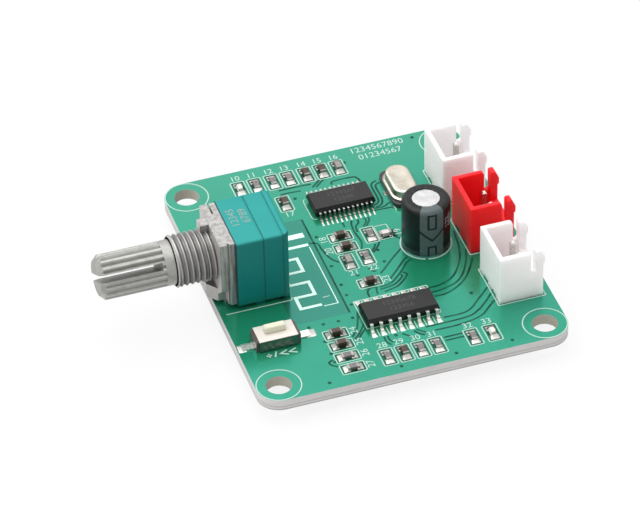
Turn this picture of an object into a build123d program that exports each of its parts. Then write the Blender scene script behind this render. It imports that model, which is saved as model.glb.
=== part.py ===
from build123d import *
import math
import os

# Small stereo audio amplifier board with a volume control, a push button and three plug headers.
# Millimetres. The origin is the centre of the four mounting holes on the board's underside:
# +X runs to the plug headers, +Y to the rear edge and +Z up through the parts.

# Circuit board
board_size_x = 42.0
board_size_y = 46.0
board_thickness = 1.6
board_corner_radius = 3.0
mounting_inset = 3.0
mounting_hole_diameter = 3.4

# Fits shared by several pieces
slip_gap = 0.05
seat_gap = 0.02
stop_gap = 0.15
lead_hole_gap = 0.12
lead_hole_sides = 8
lead_tail = 1.8
solder_sides = 9
solder_base_radius = 0.9
solder_tip_radius = 0.55
solder_height = 0.8

# Volume control, from its mounting face just inside the board's left edge
shaft_axis_y = 0.4
shaft_axis_drop = 4.45
plate_inset = 0.5
plate_thickness = 2.0
plate_pad_thickness = 1.0
plate_groove_width = 0.25
plate_groove_depth = 0.3
plate_notch_length = 2.2
plate_notch_depth = 1.7
plate_width = 8.9
plate_lift = 0.8
plate_pad_corner = 2.6
plate_foot_size = 1.3
plate_foot_depth = 1.1
plate_foot_spacing = 4.4
lug_height = 1.15
upper_lug_width = 1.6
upper_lug_offset = 1.3
upper_lug_depth = 1.3
upper_lug_drop = 0.15
lower_lug_width = 2.6
lower_lug_flare = 1.4
lower_lug_depth = 2.1
lower_lug_drop = 0.3
bushing_diameter = 7.0
bushing_length = 5.3
bushing_chamfer = 0.15
bushing_neck_length = 1.3
bushing_neck_diameter = 6.4
bushing_mouth_gap = 0.2
bushing_mouth_depth = 0.5
case_width = 9.6
case_height = 10.95
case_lift = 0.5
case_foot_size = 1.2
case_wall = 0.7
case_floor = 0.9
case_edge_radius = 0.3
case_web = 0.5
front_case_length = 3.8
rear_case_length = 2.6
end_cover_thickness = 0.8
end_cover_chamfer = 0.5
track_thickness = 0.8
track_hole_diameter = 4.8
terminal_thickness = 0.4
terminal_width = 0.8
terminal_pitch = 2.5
shaft_diameter = 6.0
shaft_length = 15.4
shaft_tip_chamfer = 0.65
shaft_collar_diameter = 7.6
shaft_collar_length = 0.8
knurl_length = 8.7
knurl_teeth = 18
knurl_depth = 0.32
split_width = 1.0
split_length = 8.3
split_tilt = 33.0
stem_diameter = 4.0
stem_flat_width = 3.2
stem_seat_depth = 0.35
rotor_diameter = 6.6
rotor_thickness = 1.1
rotor_lug_reach = 0.35
rotor_lug_half_angle = 8.0
volume_travel = 300.0
wiper_inner_radius = 2.5
wiper_outer_radius = 3.1
wiper_thickness = 0.3
wiper_arc = 120.0
wiper_gap = 0.1

# Push button
button_x = -15.8
button_y = -11.8
switch_base_length = 6.0
switch_base_width = 2.8
switch_base_height = 1.6
switch_cover_thickness = 0.2
switch_cover_length = 5.2
switch_cover_drop = 1.4
button_length = 2.7
button_width = 0.95
button_offset_y = 0.25
button_rise = 0.9
button_corner = 0.12
button_travel = 0.25
button_flange_margin = 0.4
button_plunger_diameter = 0.8
dome_diameter = 2.8
dome_height = 0.4
dome_thickness = 0.08
dome_knee = 0.6
dome_floor = 0.35
switch_terminal_width = 1.2
switch_terminal_thickness = 0.2
switch_terminal_reach = 4.6
switch_terminal_inset = 1.9

# Plug headers, two pins each
header_pin_inset = 3.65
header_pitch_y = 10.9
header_width = 7.4
header_height = 7.35
header_back = 3.6
header_front = 2.4
header_wall = 0.6
header_floor = 1.5
header_front_wall_height = 2.9
header_post_size = 1.0
header_post_width = 1.15
header_post_rise = 0.15
header_slot_width = 0.7
header_slot_bottom = 4.3
header_rim_radius = 0.45
header_latch_reach = 0.2
header_latch_bottom = 5.3
header_latch_top = 6.4
header_vent_pitch = 2.9
header_vent_width = 1.6
header_vent_height = 0.45
header_vent_depth = 1.3
pin_pitch = 2.5
pin_size = 0.64
pin_height = 5.75
pin_point = 0.2

# Electrolytic capacitor
capacitor_x = 8.95
capacitor_y = 0.4
capacitor_diameter = 6.45
capacitor_height = 7.7
sleeve_thickness = 0.12
sleeve_gap = 0.02
sleeve_lap = 1.38
sleeve_shoulder = 0.7
shoulder_steps = 3
sleeve_crimp_depth = 0.08
crimp_height = 1.7
crimp_depth = 0.25
capacitor_lead_pitch = 2.5
capacitor_lead_diameter = 0.5

# Crystal
crystal_x = 9.5
crystal_y = 12.0
crystal_can_length = 6.2
crystal_can_width = 3.3
crystal_flange_margin = 0.35
crystal_flange_thickness = 0.25
crystal_height = 2.0
crystal_edge = 0.3
crystal_base_length = 7.6
crystal_base_width = 4.2
crystal_base_height = 0.6
crystal_base_radius = 1.2
crystal_lead_width = 0.6
crystal_lead_thickness = 0.15
crystal_lead_overhang = 0.5
crystal_lead_length = 2.2

# Chips with gull-wing leads
chip_x = 1.0
chip_width = 3.9
chip_stand_off = 0.1
chip_height = 1.45
chip_draft = 20.0
chip_lead_height = 0.85
chip_lead_thickness = 0.2
chip_lead_span = 6.0
chip_foot_length = 0.6
chip_shoulder = 0.3
amplifier_y = -11.65
amplifier_length = 9.9
amplifier_pitch = 1.27
amplifier_leads_per_side = 8
amplifier_lead_width = 0.42
radio_y = 11.9
radio_length = 8.55
radio_pitch = 0.65
radio_leads_per_side = 12
radio_lead_width = 0.26

# Two-terminal chip parts
part_length = 1.6
part_width = 0.8
resistor_height = 0.45
ceramic_height = 0.8
bead_height = 0.6
lamp_height = 0.6
end_cap_length = 0.3
end_cap_margin = 0.02
lamp_base_height = 0.25
lamp_lens_margin = 0.08

# Rows of chip parts on the board
rear_row_inset = 3.8
rear_row_x = [-10.8, -8.5, -6.15, -3.9, -1.5, 0.75, 3.05]
front_row_inset = 3.5
front_row_start_x = -3.2
front_row_pitch = 2.25
front_right_x = 8.4
front_right_pitch = 2.6
left_column_x = -8.05
left_column_rise = 6.4
left_column_pitch = 2.3

# Sizes that follow from the ones above
top = board_thickness
mounting_spacing_x = board_size_x - 2 * mounting_inset
mounting_spacing_y = board_size_y - 2 * mounting_inset
rear_row_y = board_size_y / 2 - rear_row_inset
front_row_y = front_row_inset - board_size_y / 2
left_column_start_y = front_row_y + left_column_rise
header_pin_x = board_size_x / 2 - header_pin_inset
plate_face_x = plate_inset - board_size_x / 2
axis_z = top + case_height - shaft_axis_drop
plate_rear_x = plate_face_x + plate_thickness
front_case_end_x = plate_rear_x + front_case_length
rear_case_end_x = front_case_end_x + rear_case_length
cover_end_x = rear_case_end_x + end_cover_thickness
case_bottom = top + case_lift
track_bottom = case_bottom + case_floor + slip_gap
header_row_y = [-header_pitch_y, 0.0, header_pitch_y]
bushing_end_x = plate_face_x - bushing_length
shaft_tip_x = plate_face_x - shaft_length


def box_between(x0, x1, y0, y1, z0, z1):
    """A box from its lowest to its highest corner."""
    size = Box(x1 - x0, y1 - y0, z1 - z0)
    return Pos((x0 + x1) / 2, (y0 + y1) / 2, (z0 + z1) / 2) * size


def rod_along_x(x0, x1, radius):
    """A round bar about the volume shaft's axis."""
    bar = Cylinder(radius, x1 - x0)
    return Pos((x0 + x1) / 2, shaft_axis_y, axis_z) * Rot(0, 90, 0) * bar


def many_sided(inner_radius, sides):
    """A regular outline that a circle of the inner radius just fits in."""
    return RegularPolygon(inner_radius / math.cos(math.pi / sides), sides)


def mounting_places():
    """Centres of the four mounting holes."""
    half_x = mounting_spacing_x / 2
    half_y = mounting_spacing_y / 2
    return [(sx * half_x, sy * half_y) for sx in (-1, 1) for sy in (-1, 1)]


def terminal_rows():
    """Front faces of the two rows of volume terminals."""
    inset = (track_thickness - terminal_thickness) / 2
    return [plate_rear_x + inset, front_case_end_x + inset]


def terminal_places():
    """Centres of the six volume terminals on the board."""
    half = terminal_thickness / 2
    return [
        (x + half, shaft_axis_y + step * terminal_pitch)
        for x in terminal_rows()
        for step in (-1, 0, 1)
    ]


def header_pin_places(centre_y):
    """Centres of one header's two pins."""
    return [(header_pin_x, centre_y + side * pin_pitch / 2) for side in (-1, 1)]


def capacitor_lead_places():
    """Centres of the capacitor's two leads, the negative one in front."""
    half = capacitor_lead_pitch / 2
    return [(capacitor_x, capacitor_y + side * half) for side in (-1, 1)]


# Circuit board
def circuit_board():
    outline = RectangleRounded(board_size_x, board_size_y, board_corner_radius)
    for place in mounting_places():
        outline -= Pos(*place) * Circle(mounting_hole_diameter / 2)
    terminal_radius = math.hypot(terminal_thickness, terminal_width) / 2 + lead_hole_gap
    pin_radius = pin_size / math.sqrt(2) + lead_hole_gap
    for place in terminal_places():
        outline -= Pos(*place) * many_sided(terminal_radius, lead_hole_sides)
    for centre_y in header_row_y:
        for place in header_pin_places(centre_y):
            outline -= Pos(*place) * many_sided(pin_radius, lead_hole_sides)
    wire_radius = capacitor_lead_diameter / 2 + lead_hole_gap
    for place in capacitor_lead_places():
        outline -= Pos(*place) * many_sided(wire_radius, lead_hole_sides)
    return extrude(outline, board_thickness)


# Volume control: die-cast plate with its threaded bushing, left smooth at the thread's crest
def volume_bushing_plate():
    half = plate_width / 2
    y0 = shaft_axis_y - half
    y1 = shaft_axis_y + half
    z0 = top + plate_lift
    z1 = top + case_height
    step_x = plate_face_x + plate_pad_thickness
    plate = box_between(step_x, plate_rear_x, y0, y1, z0, z1)
    pad = box_between(plate_face_x, step_x, y0, y1, z0, z1)
    low_edges = pad.edges().filter_by(Axis.X).group_by(Axis.Z)[0]
    pad = chamfer(low_edges, plate_pad_corner)
    lug_x = plate_face_x - lug_height
    upper_y = shaft_axis_y + upper_lug_offset
    upper_z = z1 - upper_lug_drop
    upper_lug = box_between(lug_x, plate_face_x, upper_y - upper_lug_width / 2,
                            upper_y + upper_lug_width / 2, upper_z - upper_lug_depth, upper_z)
    neck_x = plate_face_x - bushing_neck_length
    bushing = rod_along_x(bushing_end_x, neck_x, bushing_diameter / 2)
    bushing = chamfer(bushing.edges().group_by(Axis.X)[0], bushing_chamfer)
    bushing += rod_along_x(neck_x, plate_face_x, bushing_neck_diameter / 2)
    casting = plate + pad + upper_lug + lower_lug(lug_x, step_x, z0) + bushing
    groove_x = step_x + plate_groove_width
    casting -= box_between(step_x, groove_x, y0, y0 + plate_groove_depth, z0, z1)
    casting -= box_between(step_x, groove_x, y1 - plate_groove_depth, y1, z0, z1)
    casting -= box_between(step_x, groove_x, y1 - plate_notch_length, y1,
                           z1 - plate_notch_depth, z1)
    for side in (-1, 1):
        foot_y = shaft_axis_y + side * plate_foot_spacing / 2
        casting += box_between(plate_rear_x - plate_foot_depth, plate_rear_x,
                               foot_y - plate_foot_size / 2, foot_y + plate_foot_size / 2,
                               top, z0)
    bore = rod_along_x(bushing_end_x, plate_rear_x, shaft_diameter / 2 + slip_gap)
    mouth = rod_along_x(bushing_end_x, bushing_end_x + bushing_mouth_depth,
                        shaft_diameter / 2 + slip_gap + bushing_mouth_gap)
    collar_seat = rod_along_x(plate_rear_x - shaft_collar_length - 2 * stop_gap, plate_rear_x,
                              shaft_collar_diameter / 2 + stop_gap)
    return casting - bore - mouth - collar_seat


def lower_lug(lug_x, step_x, plate_bottom):
    """The lug under the bushing, wider where it meets the plate."""
    near = lower_lug_width / 2
    far = near + lower_lug_flare
    outline = Polyline((lug_x, -near), (lug_x, near), (plate_face_x, far), (step_x, far),
                       (step_x, -far), (plate_face_x, -far), close=True)
    bottom = plate_bottom - lower_lug_drop
    return Pos(0, shaft_axis_y, bottom) * extrude(make_face(outline), lower_lug_depth)


def case_shell(x0, x1):
    """Outside of one moulded section, with its long edges rounded."""
    half = case_width / 2
    shell = box_between(x0, x1, shaft_axis_y - half, shaft_axis_y + half,
                        case_bottom, top + case_height)
    return fillet(shell.edges().filter_by(Axis.X), case_edge_radius)


def case_feet(x0, x1):
    """Two moulded feet that hold a section off the board."""
    feet = []
    for side in (-1, 1):
        foot_y = shaft_axis_y + side * (case_width - case_foot_size) / 2
        foot_y -= side * case_edge_radius
        feet.append(box_between(x0, x1, foot_y - case_foot_size / 2,
                                foot_y + case_foot_size / 2, top, case_bottom))
    return feet


def case_cavity(x0, x1):
    """Room inside one moulded section."""
    half = case_width / 2 - case_wall
    return box_between(x0, x1, shaft_axis_y - half, shaft_axis_y + half,
                       case_bottom + case_floor, top + case_height - case_wall)


def terminal_slots(row_x, open_x):
    """Slots in a section's floor that let its three terminals out, open towards open_x."""
    slots = []
    for step in (-1, 0, 1):
        centre_y = shaft_axis_y + step * terminal_pitch
        half = terminal_width / 2 + slip_gap
        slots.append(box_between(open_x, row_x + terminal_thickness + slip_gap, centre_y - half,
                                 centre_y + half, case_bottom, case_bottom + case_floor))
    return slots


# Volume control: front moulded section, with the stop that limits the turn
def volume_front_case():
    web_x = front_case_end_x - case_web
    case = case_shell(plate_rear_x, front_case_end_x) - case_cavity(plate_rear_x, web_x)
    stop_radius = rotor_diameter / 2 + stop_gap
    stop_angle = (360.0 - volume_travel) / 2 - rotor_lug_half_angle
    stop_half = stop_radius * math.sin(math.radians(stop_angle)) - stop_gap
    stop = box_between(rotor_front_x(0), web_x, shaft_axis_y - stop_half,
                       shaft_axis_y + stop_half, case_bottom + case_floor,
                       axis_z - stop_radius)
    case += stop
    for foot in case_feet(front_case_end_x - case_foot_size, front_case_end_x):
        case += foot
    case -= rod_along_x(web_x, front_case_end_x, stem_diameter / 2 + 2 * stop_gap)
    for slot in terminal_slots(terminal_rows()[0], plate_rear_x):
        case -= slot
    return case


# Volume control: rear moulded section, a plain frame
def volume_rear_case():
    case = case_shell(front_case_end_x, rear_case_end_x)
    case -= case_cavity(front_case_end_x, rear_case_end_x)
    for slot in terminal_slots(terminal_rows()[1], front_case_end_x):
        case -= slot
    return case


# Volume control: end cover with the seat for the shaft's stem
def volume_end_cover():
    half = case_width / 2
    cover = box_between(rear_case_end_x, cover_end_x, shaft_axis_y - half, shaft_axis_y + half,
                        case_bottom, top + case_height)
    rear_edges = cover.edges().filter_by(Axis.Z).group_by(Axis.X)[-1]
    cover = chamfer(rear_edges, end_cover_chamfer)
    for foot in case_feet(rear_case_end_x, cover_end_x):
        cover += foot
    return cover - rod_along_x(rear_case_end_x, rear_case_end_x + stem_seat_depth + stop_gap,
                               stem_diameter / 2 + slip_gap)


def track_plate(x0):
    """Resistance track wafer of one section."""
    half = case_width / 2 - case_wall - slip_gap
    wafer = box_between(x0, x0 + track_thickness, shaft_axis_y - half, shaft_axis_y + half,
                        track_bottom, top + case_height - case_wall - slip_gap)
    return wafer - rod_along_x(x0, x0 + track_thickness, track_hole_diameter / 2)


# Volume control: six flat terminals under the two wafers
def volume_terminals():
    pins = []
    for x, y in terminal_places():
        pins.append(box_between(x - terminal_thickness / 2, x + terminal_thickness / 2,
                                y - terminal_width / 2, y + terminal_width / 2,
                                -lead_tail, track_bottom))
    return Compound(children=pins)


# Volume control: knurled and split shaft, its collar and the stem that carries the rotors
def volume_shaft():
    radius = shaft_diameter / 2
    knurl_end_x = shaft_tip_x + knurl_length
    shaft = rod_along_x(shaft_tip_x, plate_rear_x - stop_gap, radius)
    shaft = chamfer(shaft.edges().group_by(Axis.X)[0], shaft_tip_chamfer)
    groove_half = math.pi * radius / knurl_teeth * 0.8
    groove = Polyline((radius + slip_gap, -groove_half), (radius - knurl_depth, 0),
                      (radius + slip_gap, groove_half), close=True)
    groove = extrude(make_face(groove), knurl_length)
    for tooth in range(knurl_teeth):
        turned = Rot(0, 90, 0) * Rot(0, 0, tooth * 360.0 / knurl_teeth) * groove
        shaft -= Pos(knurl_end_x - knurl_length, shaft_axis_y, axis_z) * turned
    split = Box(split_length, shaft_diameter * 1.2, split_width,
                align=(Align.MIN, Align.CENTER, Align.CENTER))
    shaft -= Pos(shaft_tip_x, shaft_axis_y, axis_z) * Rot(-split_tilt, 0, 0) * split
    collar_end_x = plate_rear_x - stop_gap
    collar = rod_along_x(collar_end_x - shaft_collar_length, collar_end_x,
                         shaft_collar_diameter / 2)
    stem_end_x = rear_case_end_x + stem_seat_depth
    stem = rod_along_x(collar_end_x, stem_end_x, stem_diameter / 2)
    keyed = Pos((collar_end_x + stem_end_x) / 2, shaft_axis_y, axis_z) * Box(
        stem_end_x - collar_end_x, stem_diameter, stem_flat_width)
    return shaft + collar + (stem & keyed)


def rotor_front_x(section):
    """Front face of a rotor, behind the wiper that it carries."""
    wafer_x = (plate_rear_x, front_case_end_x)[section]
    return wafer_x + track_thickness + wiper_gap + wiper_thickness


def rotor(section):
    """Moulded wiper carrier, keyed on the stem's two flats."""
    x0 = rotor_front_x(section)
    x1 = x0 + rotor_thickness
    carrier = rod_along_x(x0, x1, rotor_diameter / 2)
    if section == 0:
        reach = rotor_diameter / 2 + rotor_lug_reach
        half = rotor_diameter / 2 * math.sin(math.radians(rotor_lug_half_angle))
        carrier += box_between(x0, x1, shaft_axis_y - half, shaft_axis_y + half,
                               axis_z, axis_z + reach)
    hole = rod_along_x(x0, x1, stem_diameter / 2 + seat_gap)
    flats = Pos((x0 + x1) / 2, shaft_axis_y, axis_z) * Box(
        rotor_thickness, stem_diameter * 1.5, stem_flat_width + 2 * seat_gap)
    return carrier - (hole & flats)


# Volume control: two sprung contact arcs on the rotors' front faces
def volume_wipers():
    arcs = []
    for section in (0, 1):
        x1 = rotor_front_x(section)
        x0 = x1 - wiper_thickness
        ring = rod_along_x(x0, x1, wiper_outer_radius) - rod_along_x(x0, x1, wiper_inner_radius)
        reach_x = rotor_diameter * math.cos(math.radians(wiper_arc / 2))
        reach_y = rotor_diameter * math.sin(math.radians(wiper_arc / 2))
        wedge = Polyline((0, 0), (reach_x, reach_y), (rotor_diameter, 0), (reach_x, -reach_y),
                         close=True)
        wedge = extrude(make_face(wedge), wiper_thickness)
        arcs.append(ring & Pos(x0, shaft_axis_y, axis_z) * Rot(0, 90, 0) * wedge)
    return Compound(children=arcs)


# Push button: moulded base with the pocket for the dome and the button's flange
def switch_base():
    half_x = switch_base_length / 2
    half_y = switch_base_width / 2
    base = box_between(button_x - half_x, button_x + half_x, button_y - half_y,
                       button_y + half_y, top, top + switch_base_height)
    pocket_floor = top + dome_floor + dome_height
    pocket_x = button_length / 2 + button_flange_margin + stop_gap
    pocket_y = button_width / 2 + button_flange_margin + stop_gap
    base -= box_between(button_x - pocket_x, button_x + pocket_x, button_y - pocket_y,
                        button_y + pocket_y, pocket_floor, top + switch_base_height)
    well = Cylinder(dome_diameter / 2 + slip_gap, dome_height,
                    align=(Align.CENTER, Align.CENTER, Align.MIN))
    base -= Pos(button_x, button_y, top + dome_floor) * well
    for strip in switch_terminal_strips():
        base -= strip
    return base


def switch_terminal_strips():
    """The two flat terminals, which run out from under the base."""
    half = switch_terminal_width / 2
    low = top
    high = top + switch_terminal_thickness
    left = box_between(button_x - switch_terminal_reach, button_x - switch_terminal_inset,
                       button_y - half, button_y + half, low, high)
    right = box_between(button_x + switch_terminal_inset, button_x + switch_terminal_reach,
                        button_y - half, button_y + half, low, high)
    return [left, right]


# Push button: folded sheet cover, with a skirt along each side and a window for the button
def switch_cover():
    base_top = top + switch_base_height
    cover_top = base_top + switch_cover_thickness
    half_x = switch_cover_length / 2
    half_y = switch_base_width / 2
    outer_y = half_y + switch_cover_thickness
    cover = box_between(button_x - half_x, button_x + half_x, button_y - outer_y,
                        button_y + outer_y, base_top - switch_cover_drop, cover_top)
    cover = fillet(cover.edges().filter_by(Axis.X).group_by(Axis.Z)[-1],
                   switch_cover_thickness * 0.8)
    cover -= box_between(button_x - half_x, button_x + half_x, button_y - half_y,
                         button_y + half_y, base_top - switch_cover_drop, base_top)
    window_x = button_length / 2 + slip_gap
    window_y = button_width / 2 + slip_gap
    key_y = button_y + button_offset_y
    return cover - box_between(button_x - window_x, button_x + window_x, key_y - window_y,
                               key_y + window_y, base_top, cover_top)


# Push button: the key, set back a little, its flange under the cover and its plunger
def switch_button():
    base_top = top + switch_base_height
    key_top = base_top + switch_cover_thickness + button_rise
    flange_top = base_top - slip_gap
    flange_bottom = top + dome_floor + dome_height + button_travel + slip_gap
    half_x = button_length / 2
    half_y = button_width / 2
    key_y = button_y + button_offset_y
    key = box_between(button_x - half_x, button_x + half_x, key_y - half_y,
                      key_y + half_y, flange_top, key_top)
    key = chamfer(key.faces().sort_by(Axis.Z)[-1].edges(), button_corner)
    margin = button_flange_margin
    flange = box_between(button_x - half_x - margin, button_x + half_x + margin,
                         button_y - half_y - margin, button_y + half_y + margin,
                         flange_bottom, flange_top)
    plunger_bottom = top + dome_floor + dome_height + slip_gap
    plunger = Pos(button_x, button_y, plunger_bottom) * Cylinder(
        button_plunger_diameter / 2, flange_bottom - plunger_bottom,
        align=(Align.CENTER, Align.CENTER, Align.MIN))
    return key + flange + plunger


# Push button: snap dome, a thin shell that flattens under the plunger
def switch_dome():
    radius = dome_diameter / 2
    inner_radius = radius - dome_thickness
    inner_height = dome_height - dome_thickness
    knee_x = radius * math.sqrt(0.5)
    knee_z = dome_height * dome_knee
    profile = Polyline((inner_radius, 0), (radius, 0), (knee_x, knee_z), (0, dome_height),
                       (0, inner_height), (knee_x - dome_thickness, knee_z - dome_thickness / 2),
                       close=True)
    dome = revolve(make_face(Plane.XZ * profile), Axis.Z)
    return Pos(button_x, button_y, top + dome_floor) * dome


# Plug header: moulded shroud with a low front, slotted side walls and two latch posts
def header_housing(centre_y):
    back_x = header_pin_x - header_back
    front_x = header_pin_x + header_front
    post_x = front_x - header_post_size
    half = header_width / 2
    shroud = box_between(back_x, front_x, -half, half, top, top + header_floor)
    shroud += box_between(back_x, back_x + header_wall, -half, half, top, top + header_height)
    shroud += box_between(post_x, front_x, -half, half, top, top + header_front_wall_height)
    side_wall = header_side_wall(back_x, post_x, front_x)
    post = latch_post(post_x, front_x)
    for side in (-1, 1):
        shroud += Pos(0, side * (half - header_wall / 2), 0) * side_wall
        shroud += Pos(0, side * (half - header_post_width / 2), 0) * post
        vent_y = side * header_vent_pitch / 2
        shroud -= box_between(back_x, back_x + header_vent_depth, vent_y - header_vent_width / 2,
                              vent_y + header_vent_width / 2, top, top + header_vent_height)
        pin_y = side * pin_pitch / 2
        shroud -= Pos(header_pin_x, pin_y, top + header_floor / 2) * Box(
            pin_size, pin_size, header_floor)
    return Pos(0, centre_y, 0) * shroud


def header_side_wall(back_x, post_x, front_x):
    """One side wall, with its rounded end and the round bottom of the slot before the post."""
    slot_x = post_x - header_slot_width
    slot_radius = header_slot_width / 2
    slot_z = top + header_slot_bottom + slot_radius
    rim = top + header_height
    rim_start = slot_x - header_rim_radius
    rim_end = rim - header_rim_radius
    bend = header_rim_radius * math.sqrt(0.5)
    outline = Polyline((post_x, slot_z), (front_x, slot_z), (front_x, top), (back_x, top),
                       (back_x, rim), (rim_start, rim))
    outline += ThreePointArc((rim_start, rim), (rim_start + bend, rim_end + bend),
                             (slot_x, rim_end))
    outline += Line((slot_x, rim_end), (slot_x, slot_z))
    outline += ThreePointArc((slot_x, slot_z), (slot_x + slot_radius, slot_z - slot_radius),
                             (post_x, slot_z))
    return extrude(make_face(Plane.XZ * outline), header_wall / 2, both=True)


def latch_post(x0, x1):
    """One corner post: straight inside, with a small latch nose and a sloping tip outside."""
    tip_z = top + header_height + header_post_rise
    nose_x = x1 + header_latch_reach
    shoulder_x = x1 - header_post_size * 0.3
    crown_x = x1 - header_post_size * 0.5
    profile = Polyline((x0, top), (x1, top), (x1, top + header_latch_bottom),
                       (nose_x, top + header_latch_bottom + header_latch_reach),
                       (nose_x, top + header_latch_top),
                       (shoulder_x, tip_z - header_post_rise * 0.4), (crown_x, tip_z),
                       (x0 + header_post_rise, tip_z), (x0, tip_z - header_post_rise),
                       close=True)
    return extrude(make_face(Plane.XZ * profile), header_post_width / 2, both=True)


# Plug header: its two square pins, pointed at both ends
def header_pins(centre_y):
    pins = []
    for x, y in header_pin_places(centre_y):
        half = pin_size / 2
        pin = box_between(x - half, x + half, y - half, y + half, -lead_tail, top + pin_height)
        ends = pin.faces().filter_by(Axis.Z).edges()
        pins.append(chamfer(ends, pin_point, pin_point * 0.8))
    return Compound(children=pins)


# Electrolytic capacitor: the sealed can with its rubber bung, one solid
def capacitor_can():
    radius = capacitor_diameter / 2 - sleeve_thickness - sleeve_gap
    can_top = capacitor_height - sleeve_thickness - sleeve_gap
    profile = Polyline((0, 0), (radius, 0), (radius, crimp_height - crimp_depth),
                       (radius - crimp_depth, crimp_height),
                       (radius, crimp_height + crimp_depth), (radius, can_top - sleeve_shoulder),
                       (radius - sleeve_shoulder, can_top), (0, can_top), close=True)
    can = revolve(make_face(Plane.XZ * profile), Axis.Z)
    return Pos(capacitor_x, capacitor_y, top) * can


# Electrolytic capacitor: shrunk sleeve, lapped over the can's rim
def capacitor_sleeve():
    outer = capacitor_diameter / 2
    inner = outer - sleeve_thickness
    low = 2 * sleeve_thickness
    high = capacitor_height
    under = high - sleeve_thickness
    lap = outer - sleeve_lap
    shoulder_x = outer - sleeve_shoulder
    shoulder_z = high - sleeve_shoulder
    bend = []
    for step in range(shoulder_steps + 1):
        angle = math.radians(90.0 * step / shoulder_steps)
        bend.append((shoulder_x + sleeve_shoulder * math.cos(angle),
                     shoulder_z + sleeve_shoulder * math.sin(angle)))
    profile = Polyline((lap, high), (lap, under), (shoulder_x, under), (inner, shoulder_z),
                       (inner, low), (outer, low), (outer, crimp_height - 2 * crimp_depth),
                       (outer - sleeve_crimp_depth, crimp_height),
                       (outer, crimp_height + 2 * crimp_depth), *bend, close=True)
    sleeve = revolve(make_face(Plane.XZ * profile), Axis.Z)
    return Pos(capacitor_x, capacitor_y, top) * sleeve


# Electrolytic capacitor: two round leads through the board
def capacitor_leads():
    leads = []
    for x, y in capacitor_lead_places():
        wire = Cylinder(capacitor_lead_diameter / 2, top + lead_tail,
                        align=(Align.CENTER, Align.CENTER, Align.MIN))
        leads.append(Pos(x, y, -lead_tail) * wire)
    return Compound(children=leads)


# Crystal: the sealed can with its welded flange, one solid
def crystal_can():
    flange_outline = SlotOverall(crystal_can_length + 2 * crystal_flange_margin,
                                 crystal_can_width + 2 * crystal_flange_margin)
    can_outline = SlotOverall(crystal_can_length, crystal_can_width)
    can = extrude(can_outline, crystal_height - crystal_base_height)
    can = chamfer(can.faces().sort_by(Axis.Z)[-1].edges(), crystal_edge)
    can += extrude(flange_outline, crystal_flange_thickness)
    return Pos(crystal_x, crystal_y, top + crystal_base_height) * Rot(0, 0, 90) * can


def crystal_lead_strips():
    """The crystal's two flat leads, bent out under the ends of its insulator."""
    half = crystal_lead_width / 2
    end = crystal_base_length / 2 + crystal_lead_overhang
    strips = []
    for side in (-1, 1):
        far = crystal_y + side * end
        near = far - side * crystal_lead_length
        strips.append(box_between(crystal_x - half, crystal_x + half, min(near, far),
                                  max(near, far), top, top + crystal_lead_thickness))
    return strips


# Crystal: moulded insulator under the flange, with grooves for the leads
def crystal_insulator():
    base = Pos(crystal_x, crystal_y, top) * Rot(0, 0, 90) * extrude(
        RectangleRounded(crystal_base_length, crystal_base_width, crystal_base_radius),
        crystal_base_height)
    for strip in crystal_lead_strips():
        base -= strip
    return base


# Chips: moulded body with drafted sides above and below the leads
def chip_body(centre_y, length):
    parting = chip_lead_height
    outline = Rectangle(length, chip_width)
    upper = extrude(outline, chip_height - parting, taper=chip_draft)
    lower = extrude(outline, -(parting - chip_stand_off), taper=chip_draft)
    return Pos(chip_x, centre_y, top + parting) * (upper + lower)


# Chips: gull-wing leads along both sides
def chip_leads(centre_y, pitch, count, width):
    thick = chip_lead_thickness
    face = chip_width / 2 + seat_gap
    toe = chip_lead_span / 2
    heel = toe - chip_foot_length
    knee = face + chip_shoulder
    high = chip_lead_height + thick / 2
    profile = Polyline((face, high - thick), (knee - thick * 0.3, high - thick), (heel, 0),
                       (toe, 0), (toe, thick), (heel + thick * 0.7, thick),
                       (knee + thick * 0.4, high), (face, high), close=True)
    wing = extrude(make_face(Plane.YZ * profile), width / 2, both=True)
    leads = []
    for side in (0, 180):
        for index in range(count):
            along = (index - (count - 1) / 2) * pitch
            leads.append(Pos(chip_x + along, centre_y, top) * Rot(0, 0, side) * wing)
    return Compound(children=leads)


def chip_part(height):
    """A two-terminal ceramic part with its wrapped end caps, along X."""
    core = Box(part_length - 2 * end_cap_margin, part_width - 2 * end_cap_margin,
               height - 2 * end_cap_margin)
    solid = core
    for side in (-1, 1):
        cap = Box(end_cap_length, part_width, height)
        solid += Pos(side * (part_length - end_cap_length) / 2, 0, 0) * cap
    return Pos(0, 0, height / 2) * solid


def chip_lamp():
    """A small light-emitting part: flat base with end caps and a clear moulded lens."""
    base = chip_part(lamp_base_height)
    lens_length = part_length - 2 * end_cap_length
    lens_width = part_width - 2 * lamp_lens_margin
    lens = extrude(Rectangle(lens_length, lens_width), lamp_height - lamp_base_height, taper=6)
    return base + Pos(0, 0, lamp_base_height - end_cap_margin) * lens


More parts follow.
